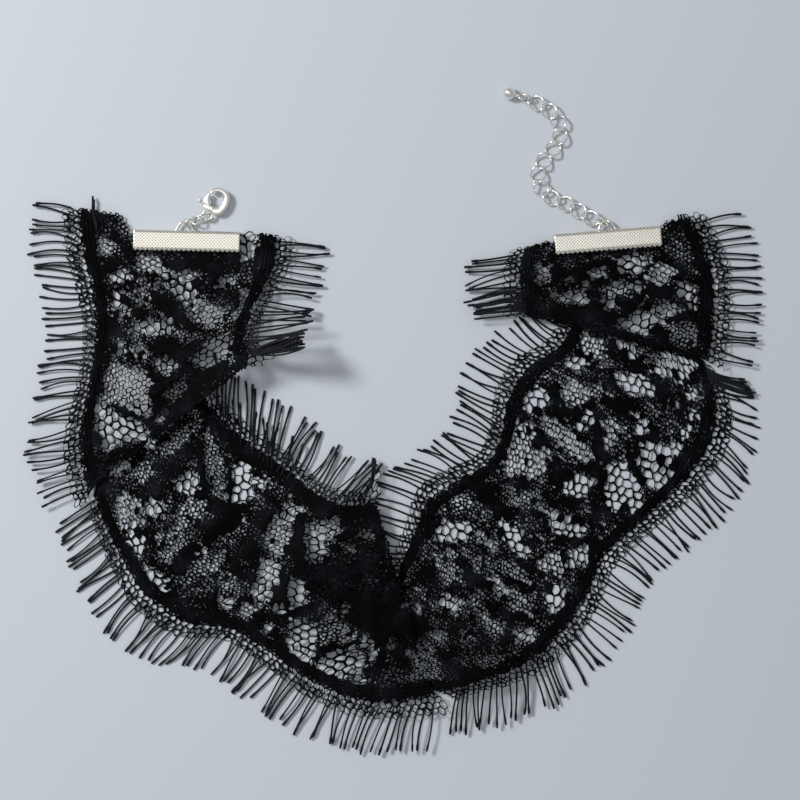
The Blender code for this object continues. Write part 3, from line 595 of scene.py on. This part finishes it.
# Near-black with painted glints: the grey flecks of colour stand for light caught on the fibres
near_black_to_painted_glint = ((0.25, "#010102"), (0.42, "#14171D"))
shade = add_node(lace_yarn, "ValToRGB", {"stops": near_black_to_painted_glint}, {"Fac": mixed.outputs[0]})
rough = add_node(lace_yarn, "MapRange", {}, {"Value": flecks.outputs["Fac"], "To Min": 0.45, "To Max": 0.75})
ribs = add_node(lace_yarn, "Bump", {}, {"Height": flecks.outputs["Fac"], "Strength": 0.5, "Distance": 0.2 * MM})
connect(lace_yarn, shader, {
    "Base Color": shade.outputs["Color"], "Roughness": rough.outputs[0], "Normal": ribs.outputs[0],
    "IOR": 1.53, "Specular IOR Level": 0.03, "Sheen Weight": 0.02,
})

# Cords that run along each border, close beside each other. Columns: share of the width, radius.
BORDER_CORDS = ((-0.02, 0.2), (0.0, 0.3), (0.02, 0.22), (0.98, 0.22), (1.0, 0.3), (1.02, 0.2))
# The sections between which the inner cords are in sight, where a fold hides the rest
INNER_CORDS = {"lace_middle": (1.6, len(MIDDLE) - 1.0), "lace_right": (2.0, 12.3)}
CORD_STEP = 0.8
CORD_LIFT = 0.2
YARN_WALL = 0.2 * MM
cloth = {}
for name, rows in STRETCHES.items():
    lace = together(*(weight(name, rows, *row) for row in WEIGHTS))
    piece = finished(name, lace, "choker", lace_yarn)
    cloth[name] = [piece]
    wall = piece.modifiers.new("yarn", "SOLIDIFY")
    wall.thickness = YARN_WALL
    wall.offset = 0
    paths, radii = [], []
    for share, radius in () if name.startswith("pleat") else BORDER_CORDS:
        start, stop = 0.0, len(rows) - 1.0
        if name == "lace_left":
            start = cut_end(name, share)
        if name == "lace_right_end":
            stop = cut_end(name, share)
        if share > 0.5 and name in INNER_CORDS:
            start, stop = INNER_CORDS[name]
        reach = abs(rows[-1][5] - rows[0][5]) if share > 0.5 else abs(rows[-1][4] - rows[0][4])
        k = np.arange(max(4, int(reach / CORD_STEP)))
        place = np.linspace(start, stop, len(k))
        wave = 0.0045 * np.sin(k * 1.3 + share * 40) * np.clip(scatter(k, k, share) * 2, 0.3, 1)
        paths.append(lay(rows, place, share + wave, CORD_LIFT))
        radii.append(radius * (0.8 + 0.35 * scatter(k, k, 5 + share)))
    if paths:
        cords = threads(paths, radii)
        cloth[name].append(finished(name + "_cords", cords, "choker", lace_yarn, stands_for=False))

# ---- Fringe ----
# Warp threads cut through at the edge of the net, 10 to 12 mm long, like eyelashes.
# They are twisted, stand in pairs that lean together, and end in small knots.

# For each: its stretch, the edge it stands on as a share of the width, the spacing of its threads, and a table.
# Columns: section, bearing of the threads in degrees, reach, height of the tips.
FRINGES = {
    "fringe_outer_left": (LEFT, -NET, 1.5, (
        (0, 168, 7.5, 1), (1, 180, 10.5, 0.2), (2, 176, 11, 0), (3, 187, 11, 0), (4, 188, 11, 0.2),
        (5, 193, 11, 0.5), (6, 185, 11, 1.2), (7, 206, 9, 1.6),
    )),
    "fringe_inner_left": (LEFT, 1 + NET, 1.4, (
        (0.1, 0, 10, 0.6), (1, -3, 10, 0.6), (2, -8, 11.5, 1.2), (3, -4, 13, 3), (4, 8, 15, 7),
        (5, 10, 12.5, 10), (6, 10, 11.5, 13), (7, 11, 11, 15),
    )),
    "fringe_outer_middle": (MIDDLE, -NET, 1.5, (
        (0, 212, 10, 0), (1, 217, 11, 0), (2, 221, 11, 0), (3, 222, 11, 0), (4, 228, 11, 0),
        (5, 231, 11, 0), (6, 239, 11, 0), (7, 234, 11, 0), (8, 242, 11, 0.2), (9, 256, 11, 0.6),
        (10, 259, 10, 1.5),
    )),
    "fringe_inner_middle": (MIDDLE, 1 + NET, 1.6, (
        (1.9, 98, 11, 0), (3, 85, 11, 0), (4, 72, 11, 0), (5, 61, 11, 0), (6, 56, 11, 0.3),
        (7, 51, 11, 0.6), (8, 48, 10, 0.8), (9, 66, 8, 1.5), (10, 84, 7, 2.4),
    )),
    "fringe_outer_right": (RIGHT, -NET, 1.5, (
        (0.45, 264, 10, 0.2), (2, 265, 11, 0.9), (3, 272, 11, 1.1), (4, 286, 11, 0.6), (5, 304, 11, 0),
        (6, 328, 11, 0), (7, 326, 11, 0), (8, 317, 11, 0), (9, 308, 11, 0), (10, 320, 10, 0),
        (11, 342, 8.5, 0), (12, 338, 9, 0), (12.9, 340, 9, 0),
    )),
    "fringe_inner_right": (RIGHT, 1 + NET, 1.6, (
        (2.15, 176, 11, 0), (3, 173, 11, 0), (4, 160, 11, 0), (5, 163, 11, 0), (6, 155, 11, 0),
        (7, 150, 11, 0), (8, 153, 11, 0), (9, 157, 11, 0), (10, 151, 11, 0), (11, 136, 10, 0),
        (11.7, 148, 9, 0),
    )),
    "fringe_outer_right_end": (END, -NET, 1.5, (
        (0, -15, 9, 1.5), (1, -3, 8.5, 0.8), (2, 2, 8.5, 0.2), (3, 2, 10, 0.2), (4.1, 10, 11, 0.8),
    )),
    "fringe_inner_right_end": (END, 1 + NET, 1.6, (
        (0, 187, 10, 1.6), (1, 192, 11, 1), (2, 192, 11, 0.6), (3.5, 192, 11, 0.8),
    )),
}

# How far a thread runs back into the net, its least radius, and the points along it
ROOTED = 2.6
THREAD = 0.2
POINTS = 12
# How its thickness changes on its way to the knot. Rows: share of its length, thickness.
THICKNESS = ((0, 0.1, 0.5, 0.85, 0.93, 1.0), (0.7, 1.0, 0.95, 1.0, 1.6, 1.1))
# The share of the pairs that lean together, how closely they and the others do, and the widest gap closed
PAIRED = 0.42
CLOSE = 0.85
APART = 0.1
WIDEST_GAP = 2.4
# How much pairs, and the two threads of a pair, differ in bearing, in degrees, and in their curl
SPLAY = (14, 7)
CURL = (1.6, 0.6)


# Single threads along an edge of a stretch
def fringe(rows, edge, spacing, table, seed):
    table = np.array(table, float)
    fine = np.linspace(table[0, 0], table[-1, 0], 600)
    on_strip = run(rows, 5 if edge > 0.5 else 4, fine, False)
    count = int((on_strip[-1] - on_strip[0]) / spacing)
    k = np.arange(count)
    pair = k // 2
    side = 1.0 - 2.0 * (k % 2)
    at = np.interp(on_strip[0] + (k + 0.25 + 0.5 * scatter(k, k, seed)) * spacing, on_strip, fine)
    bearing, reach, tip = (np.interp(at, table[:, 0], table[:, column]) for column in (1, 2, 3))
    pull = np.where(scatter(pair, pair, seed + 1) < PAIRED, CLOSE, APART) * (0.7 + 0.5 * scatter(k, k, seed + 2))
    bearing = bearing + SPLAY[0] * (scatter(pair, pair, seed + 3) - 0.5) + SPLAY[1] * (scatter(k, k, seed + 8) - 0.5)
    bearing = np.radians(bearing)
    reach = reach * (0.84 + 0.18 * scatter(k, k, seed + 4))
    curl = CURL[0] * (scatter(pair, pair, seed + 5) - 0.5) + CURL[1] * (scatter(k, k, seed + 6) - 0.5)
    root = lay(rows, at, np.full(count, edge))
    head = np.stack([np.cos(bearing), np.sin(bearing)], axis=1)
    left = np.stack([-np.sin(bearing), np.cos(bearing)], axis=1)
    # How far to the left the next thread stands, so that the two of a pair lean towards each other
    step = ((np.roll(root[:, :2], -1, axis=0) - root[:, :2]) * left).sum(axis=1)
    gap = np.minimum(np.where(side > 0, np.abs(step), np.roll(np.abs(step), 1)), WIDEST_GAP) / 2
    toward = np.sign(step)
    paths, radii = [], []
    share = np.linspace(0, 1, POINTS)
    for i in range(count):
        out = -ROOTED + (reach[i] + ROOTED) * share
        aside = toward[min(i, count - 2)] * side[i] * pull[i] * gap[i] * ease(share * 1.15)
        aside = aside + curl[i] * np.sin(share * math.pi)
        x = root[i, 0] + head[i, 0] * out + left[i, 0] * aside
        y = root[i, 1] + head[i, 1] * out + left[i, 1] * aside
        z = root[i, 2] + (tip[i] + 0.35 - root[i, 2]) * share + 0.5 * np.sin(share * math.pi) * scatter(i, i, seed + 7)
        radii.append((THREAD + 0.07 * scatter(i, i, seed + 9)) * np.interp(share, *THICKNESS))
        paths.append(np.stack([x, y, np.maximum(z, 0.25)], axis=1))
    return threads(paths, radii)


# The same nylon, as twisted thread: a little darker and smoother, with its twist at 0.9 mm a turn
thread_yarn, shader, where = new_finish("twisted_nylon_thread")
twist = add_node(thread_yarn, "TexWave", {}, {"Vector": where, "Scale": 350.0, "Distortion": 3.0, "Detail": 2.0})
blacks = ((0.0, "#05060A"), (1.0, "#10131C"))
shade = add_node(thread_yarn, "ValToRGB", {"stops": blacks}, {"Fac": twist.outputs["Fac"]})
bump = add_node(thread_yarn, "Bump", {}, {"Height": twist.outputs["Fac"], "Strength": 0.5, "Distance": 0.1 * MM})
connect(thread_yarn, shader, {
    "Base Color": shade.outputs["Color"], "Normal": bump.outputs[0],
    "Roughness": 0.5, "IOR": 1.53, "Specular IOR Level": 0.15, "Sheen Weight": 0.02,
})
# Where a pleat gathers the threads of its layers, and at the frayed corner, more of them stand in bundles
BUNDLES = {
    "fringe_inner_left": (LEFT, 1 + NET, 0.22, ((5.6, 12, 12, 11.0), (7.0, 13, 11, 14.6))),
    "fringe_outer_left": (LEFT, 0.04, 0.5, ((0.0, 84, 3.8, 0.9), (0.35, 102, 2.6, 0.9))),
    "fringe_inner_middle": (MIDDLE, 1 + NET * 0.4, 1.8, ((2.1, 96, 9.5, 2.2), (3.5, 80, 9, 1.4), (5.0, 64, 9, 1.0))),
    "fringe_inner_right_end": (END, 1 + NET * 0.7, 0.45, ((0.0, 180, 11, 2.4), (1.2, 190, 11, 1.6))),
    "fringe_outer_right": (RIGHT, -NET, 0.6, ((11.9, 340, 9, 0.8), (12.9, 338, 9.5, 0.8))),
}
for number, (name, row) in enumerate(FRINGES.items()):
    shape = fringe(*row, number * 11)
    if name in BUNDLES:
        shape = together(shape, fringe(*BUNDLES[name], 5))
    stretch = name.replace("fringe_outer", "lace").replace("fringe_inner", "lace")
    cloth[stretch].append(finished(name, shape, "choker", thread_yarn))

# Each stretch as cut, in metres, with its net bands. Columns: length, width, share that is thread and not hole.
SHEETS = {
    "lace_left": (0.071, 0.054, 0.75), "pleat_left": (0.018, 0.054, 0.42),
    "lace_middle": (0.107, 0.054, 0.75), "pleat_bottom": (0.020, 0.054, 0.42),
    "lace_right": (0.129, 0.054, 0.75), "pleat_right": (0.020, 0.054, 0.42),
    "lace_right_end": (0.035, 0.054, 0.75),
}
for name, (length, width, thread) in SHEETS.items():
    piece, *edging = cloth[name]

# ---- Ribbon crimps ----
# One strip of plated steel sheet is folded over each lace end and pressed shut, its lower edge cut into small teeth.
# The front is stamped with rows of fine dots, and a wire eye stands on the fold.
CRIMP_LONG = 27.4
CRIMP_DEEP = 5.3
CRIMP_HIGH = 2.6
SHEET = 0.5
BEND = 0.4
# How many teeth there are, how far they stand out, and how far in from the edge they are cut and pressed down
TEETH = 22
TOOTH = 0.55
TOOTH_ROOT = 0.7
PRESSED = 0.25
# The wire eye on the fold
EYE_WIDE = 2.2
EYE_HIGH = 2.8
EYE_WIRE = 0.6
EYE_ROOT = 0.3

# Bright plating with a faintly warm cast, its polish broken by fine scratches and dull in the hollows
plating, shader, where = new_finish("bright_nickel_plating")
cloud = add_node(plating, "TexNoise", {}, {"Vector": where, "Scale": 260.0, "Detail": 3.0})
rough = add_node(plating, "MapRange", {}, {"Value": cloud.outputs["Fac"], "To Min": 0.16, "To Max": 0.28})
whites = ((0.35, "#F0EEE6"), (0.6, "#FBF9F3"))
shade = add_node(plating, "ValToRGB", {"stops": whites}, {"Fac": cloud.outputs["Fac"]})
wear = add_node(plating, "Bump", {}, {"Height": cloud.outputs["Fac"], "Strength": 0.15, "Distance": 0.05 * MM})
connect(plating, shader, {
    "Base Color": shade.outputs["Color"], "Roughness": rough.outputs[0], "Normal": wear.outputs[0], "Metallic": 1.0,
})


# A flat sheet, bent round the lace end: over the front, down the fold and back below
def crimp_sheet():
    bm = bmesh.new()
    bmesh.ops.create_grid(bm, x_segments=TEETH * 4, y_segments=40, size=1)
    half = CRIMP_DEEP / 2 - SHEET / 2
    high = CRIMP_HIGH - SHEET
    corner = math.pi / 2 * BEND
    face = half * 2 - BEND
    lengths = np.cumsum([0, face, corner, high - 2 * BEND, corner, face])
    for vert in bm.verts:
        x = vert.co.x * (CRIMP_LONG / 2 - SHEET / 2)
        along = (1 - vert.co.y) / 2 * lengths[5]
        from_edge = min(along, lengths[5] - along)
        tooth = abs((x / (CRIMP_LONG - SHEET) * TEETH) % 1 - 0.5) * 2
        edge = max(0.0, 1 - from_edge / TOOTH_ROOT)
        if from_edge < lengths[1]:
            y, z = -half + from_edge, high - PRESSED * edge
        elif from_edge < lengths[2]:
            angle = (from_edge - lengths[1]) / BEND
            y, z = half - BEND + BEND * math.sin(angle), high - BEND + BEND * math.cos(angle)
        else:
            y, z = half, high - BEND - (from_edge - lengths[2])
        z = z if along < lengths[5] / 2 else high - z
        vert.co = (x, y + edge * TOOTH * (tooth - 0.5), z + SHEET / 2)
    bmesh.ops.recalc_face_normals(bm, faces=bm.faces)
    bmesh.ops.solidify(bm, geom=bm.faces[:], thickness=SHEET * 0.5)
    return bm


# The stamped front: the same plating with staggered rows of fine pits, their insides painted darker as shade. The real
# ones are some 0.7 mm apart, which is too fine to show, so they are drawn 0.85 mm apart.
def stamped(turn):
    material = plating.copy()
    material.name = "stamped_nickel_plating"
    where = add_node(material, "TexCoord", {}, {}).outputs["Object"]
    turned = add_node(material, "Mapping", {}, {"Vector": where, "Rotation": (0, 0, math.radians(45 - turn))})
    dots = add_node(
        material, "TexVoronoi", {"voronoi_dimensions": "2D"},
        {"Vector": turned.outputs[0], "Scale": 1667.0, "Randomness": 0.0},
    )
    pit = add_node(
        material, "MapRange", {"interpolation_type": "SMOOTHSTEP"},
        {"Value": dots.outputs["Distance"], "From Min": 0.12, "From Max": 0.34, "To Min": 0.0, "To Max": 1.0},
    )
    # Painted shade: the pits are coloured darker than the plating around them, for the shade that falls inside them
    pit_shade_to_plating = ((0.0, "#ABA69A"), (1.0, "#EFEBDF"))
    painted_pit_shade = add_node(material, "ValToRGB", {"stops": pit_shade_to_plating}, {"Fac": pit.outputs[0]})
    stamp = add_node(material, "Bump", {}, {"Height": pit.outputs[0], "Strength": 0.22, "Distance": 0.08 * MM})
    shader = material.node_tree.nodes["Principled BSDF"]
    connect(material, shader, {"Base Color": painted_pit_shade.outputs["Color"], "Normal": stamp.outputs[0]})
    return material


# Moves a shape from where it was made to its place, turned by so many degrees
def set_down(shape, at, turn):
    place = Matrix.Translation(at) @ Matrix.Rotation(math.radians(turn), 4, "Z")
    bmesh.ops.transform(shape, matrix=place, verts=shape.verts)
    return shape


# Columns: name, middle x, y, turn, where the eye stands along the crimp
for name, x, y, turn, eye_at in (("crimp_left", -51.9, 45.7, -1.3, -0.6), ("crimp_right", 54.6, 45.9, 4.7, 0.0)):
    sweep = np.linspace(0, math.pi, 25)
    arch = np.stack([
        eye_at + EYE_WIDE * np.cos(sweep) * (1 - 0.2 * np.sin(sweep)),
        CRIMP_DEEP / 2 - EYE_ROOT + EYE_HIGH * np.sin(sweep), np.full(25, CRIMP_HIGH / 2),
    ], axis=1)
    shape = together(crimp_sheet(), threads([arch], [np.full(25, EYE_WIRE / 2)], 3))
    set_down(shape, (x + SHIFT[0], y + SHIFT[1], 0), turn)
    finished(name, shape, "choker", stamped(turn))

# ---- Extension chain ----
# A jump ring on the right crimp, twelve twisted curb links, a small ring, and a ball drop with its own eye.
# Each is bent from plated wire 0.5 mm thick, and its joint is closed without solder.
WIRE = 0.5
PLAY = 0.3
LINK_A = 2.3
LINK_B = 1.8
LINK_TILT = 45.0


# A closed link of wire, with half axes a and b. Its sides lean, at each end by so many degrees.
def link(a, b, lean_start, lean_end, bearing, at, wire=WIRE):
    turn = np.linspace(0, 2 * math.pi, 41)[:-1]
    lean = np.radians((lean_start + lean_end) / 2 + (lean_end - lean_start) / 2 * np.cos(turn))
    path = np.stack([a * np.cos(turn), b * np.sin(turn) * np.cos(lean), b * np.sin(turn) * np.sin(lean)], axis=1)
    return set_down(threads([path], [np.full(40, wire / 2)], 4, True), at, bearing)


# The direction of a bearing
def heading(bearing):
    return Vector((math.cos(math.radians(bearing)), math.sin(math.radians(bearing)), 0))


# Adds the next link or ring, a piece and a body of its own, to a chain that has come as far as start
def hang(name, start, height, a, b, lean_start, lean_end, bearing):
    reach = heading(bearing) * (2 * a - WIRE - PLAY)
    start.z = height
    shape = link(a, b, lean_start, lean_end, bearing, start + reach / 2)
    finished(name, shape, name, plating)
    return start + reach


RING_RIGHT = 1.55
END_RING = 1.25
# Columns: bearing as it lies, height of its middle.
LINKS = (
    (158, 1.3), (140, 1.2), (163, 1.1), (151, 1.05), (121, 1.05), (82, 1.05), (52, 1.05), (50, 1.05), (75, 1.05),
    (117, 1.05), (143, 1.1), (155, 1.2),
)
start = Vector((54.15 + SHIFT[0], 49.85 + SHIFT[1], 0))
start = hang("ring_right", start, 1.68, RING_RIGHT, RING_RIGHT, 65, 65, 155)
for number, (bearing, height) in enumerate(LINKS):
    start = hang("link_%02d" % (number + 1), start, height, LINK_A, LINK_B, -LINK_TILT, LINK_TILT, bearing)
start = hang("end_ring", start, 1.35, END_RING, END_RING, -45, -45, 161)

# The drop, made along x from where it hangs: its eye of thinner wire, a short neck, and the ball
DROP_EYE = 0.85
DROP_EYE_WIRE = 0.4
BALL = 1.6
BALL_AT = 3.75
# Columns: along the drop, radius.
NECK = ((1.2, 0.5), (1.5, 0.42), (2.0, 0.45), (2.6, 0.6))
start.z = 1.52
eye = link(DROP_EYE, DROP_EYE, 45, 45, 0, Vector((0.45, 0, 0)), DROP_EYE_WIRE)
neck = threads([np.array([(x, 0, 0) for x, radius in NECK])], [[radius for x, radius in NECK]], 3)
ball = bmesh.new()
bmesh.ops.create_uvsphere(ball, u_segments=32, v_segments=20, radius=BALL)
on_neck = Matrix.Translation((BALL_AT, 0, 0)) @ Matrix.Rotation(math.pi / 2, 4, "Y")
bmesh.ops.transform(ball, matrix=on_neck, verts=ball.verts)
drop = set_down(together(eye, neck, ball), start, 163)
finished("end_drop", drop, "end_drop", plating)

# ---- Clasp ----
# Three jump rings lead from the left crimp to a small cast lobster clasp, tumbled and plated.
# Its sprung lever turns between two ears on a pin, and a thumb knob stands out on its left.
RING = 1.35
start = Vector((-52.05 + SHIFT[0], 49.85 + SHIFT[1], 0))
for name, bearing, lean in (("ring_a", 32, 65), ("ring_b", 12, -40), ("ring_c", 22, 55)):
    start = hang(name, start, 1.52, RING, RING, lean, lean, bearing)

# The clasp, made along x from its tail. Columns: angle round the middle of its eye, inner radius, outer radius.
HOOK = (
    (62, 1.8, 2.6), (45, 1.85, 2.9), (0, 1.95, 3.15), (-45, 1.8, 3.35), (-90, 1.65, 3.2), (-125, 1.65, 3.5),
    (-150, 1.7, 3.95), (-170, 1.8, 3.85), (-185, 1.9, 3.6), (-196, 2.0, 3.3),
)
LEVER = ((73, 1.95, 2.8), (95, 1.65, 3.1), (117, 1.5, 3.45), (135, 1.65, 3.55), (150, 2.4, 3.55))
EYE_MIDDLE = (4.85, -0.75)
HALF_THICK = 0.6
CLASP_BEARING = 68
TAIL = 1.2
TAIL_WIRE = 0.58
# The two ears: their middle, how far apart, and their size
EARS_AT = (2.3, 0.45)
EARS_APART = 1.62
EAR = (1.1, 2.5, 0.26)
EAR_ROUNDING = 0.11
PIVOT = (2.4, 1.3)
BARREL = 0.5
BARREL_LONG = 0.76
# The thumb knob. Columns: along the clasp from its tail, to its left, radius.
THUMB = ((3.0, 1.9, 0.34), (3.1, 2.6, 0.45), (3.15, 3.15, 0.66), (3.15, 3.5, 0.4))


# A flat-faced bar cast round the eye of the clasp, its edges rounded over
def cast_bar(rows):
    place = np.linspace(0, len(rows) - 1, 10 * len(rows))
    angle, inner, outer = (run(rows, column, place) for column in (0, 1, 2))
    half = (outer - inner) / 2
    turn = np.radians(angle)
    middle = inner + half
    path = np.stack([middle * np.cos(turn), middle * np.sin(turn), np.zeros(len(turn))], axis=1)
    bm = threads([path], [half], 6)
    order = np.argsort(angle)
    for vert in bm.verts:
        at = math.degrees(math.atan2(vert.co.y, vert.co.x))
        if at > angle.max() + 2:
            at -= 360
        # The round bar is squared, so that its faces lie flat and its edges stay soft
        share = min(1.0, abs(vert.co.z) / np.interp(at, angle[order], half[order]))
        vert.co.z = math.copysign(HALF_THICK * share ** 0.55, vert.co.z) if share > 0.001 else 0.0
        vert.co.x += EYE_MIDDLE[0]
        vert.co.y += EYE_MIDDLE[1]
    return bm


turn = np.linspace(0, 2 * math.pi, 33)[:-1]
tail_path = np.stack([0.5 + TAIL * np.cos(turn), TAIL * np.sin(turn), np.zeros(32)], axis=1)
tail = threads([tail_path], [np.full(32, TAIL_WIRE / 2)], 4, True)
ears = bmesh.new()
for side in (-1, 1):
    at = Matrix.Translation((*EARS_AT, side * EARS_APART / 2)) @ Matrix.Diagonal((*EAR, 1))
    bmesh.ops.create_cube(ears, size=1, matrix=at)
bmesh.ops.bevel(
    ears, geom=ears.edges[:], offset=EAR_ROUNDING, affect="EDGES", segments=3, profile=0.5, material=-1,
)
body = set_down(together(cast_bar(HOOK), tail, ears), start, CLASP_BEARING)
finished("clasp_body", body, "clasp_body", plating)
barrel = bmesh.new()
bmesh.ops.create_cone(
    barrel, cap_ends=True, segments=24, radius1=BARREL, radius2=BARREL, depth=BARREL_LONG,
    matrix=Matrix.Translation((*PIVOT, 0)),
)
on_knob = np.linspace(0, len(THUMB) - 1, 16)
knob_path = np.stack([run(THUMB, 0, on_knob), run(THUMB, 1, on_knob), np.zeros(16)], axis=1)
knob = threads([knob_path], [run(THUMB, 2, on_knob)], 5)
lever = set_down(together(cast_bar(LEVER), barrel, knob), start, CLASP_BEARING)
finished("clasp_lever", lever, "clasp_lever", plating)

# ---- Surface and light ----
# A plain pale blue-grey board, matt, with one broad soft light high on the upper left and weak light all round.
BOARD_HALF = 3.0
board_paint, shader, where = new_finish("pale_painted_board")
grain = add_node(board_paint, "TexNoise", {}, {"Vector": where, "Scale": 3.0, "Detail": 1.0})
pale_blues = ((0.0, "#BDC3CA"), (1.0, "#C6CBD1"))
shade = add_node(board_paint, "ValToRGB", {"stops": pale_blues}, {"Fac": grain.outputs["Fac"]})
connect(board_paint, shader, {"Base Color": shade.outputs["Color"], "Roughness": 0.85, "Specular IOR Level": 0.2})
bm = bmesh.new()
bmesh.ops.create_grid(bm, x_segments=4, y_segments=4, size=BOARD_HALF)
mesh = bpy.data.meshes.new("board")
bm.to_mesh(mesh)
bm.free()
mesh.materials.append(board_paint)
board = bpy.data.objects.new("board", mesh)
bpy.context.scene.collection.objects.link(board)

# Columns: name, width in metres, power, distance in metres, bearing and height in degrees.
for name, size, power, distance, azimuth, elevation in (
    ("window", 0.2, 5.7, 0.85, 150, 42), ("overhead", 1.1, 2.1, 1.6, 170, 82),
):
    lamp = bpy.data.lights.new(name, "AREA")
    lamp.shape = "DISK"
    lamp.size = size
    lamp.energy = power
    light = bpy.data.objects.new(name, lamp)
    a, e = math.radians(azimuth), math.radians(elevation)
    direction = Vector((math.cos(a) * math.cos(e), math.sin(a) * math.cos(e), math.sin(e)))
    light.location = direction * distance
    light.rotation_euler = direction.to_track_quat("Z", "Y").to_euler()
    bpy.context.scene.collection.objects.link(light)
world = bpy.data.worlds.new("studio")
world.use_nodes = True
world.node_tree.nodes["Background"].inputs["Color"].default_value = linear("#E4E6EA")
world.node_tree.nodes["Background"].inputs["Strength"].default_value = 0.48
bpy.context.scene.world = world
bpy.context.scene.view_settings.view_transform = "Standard"
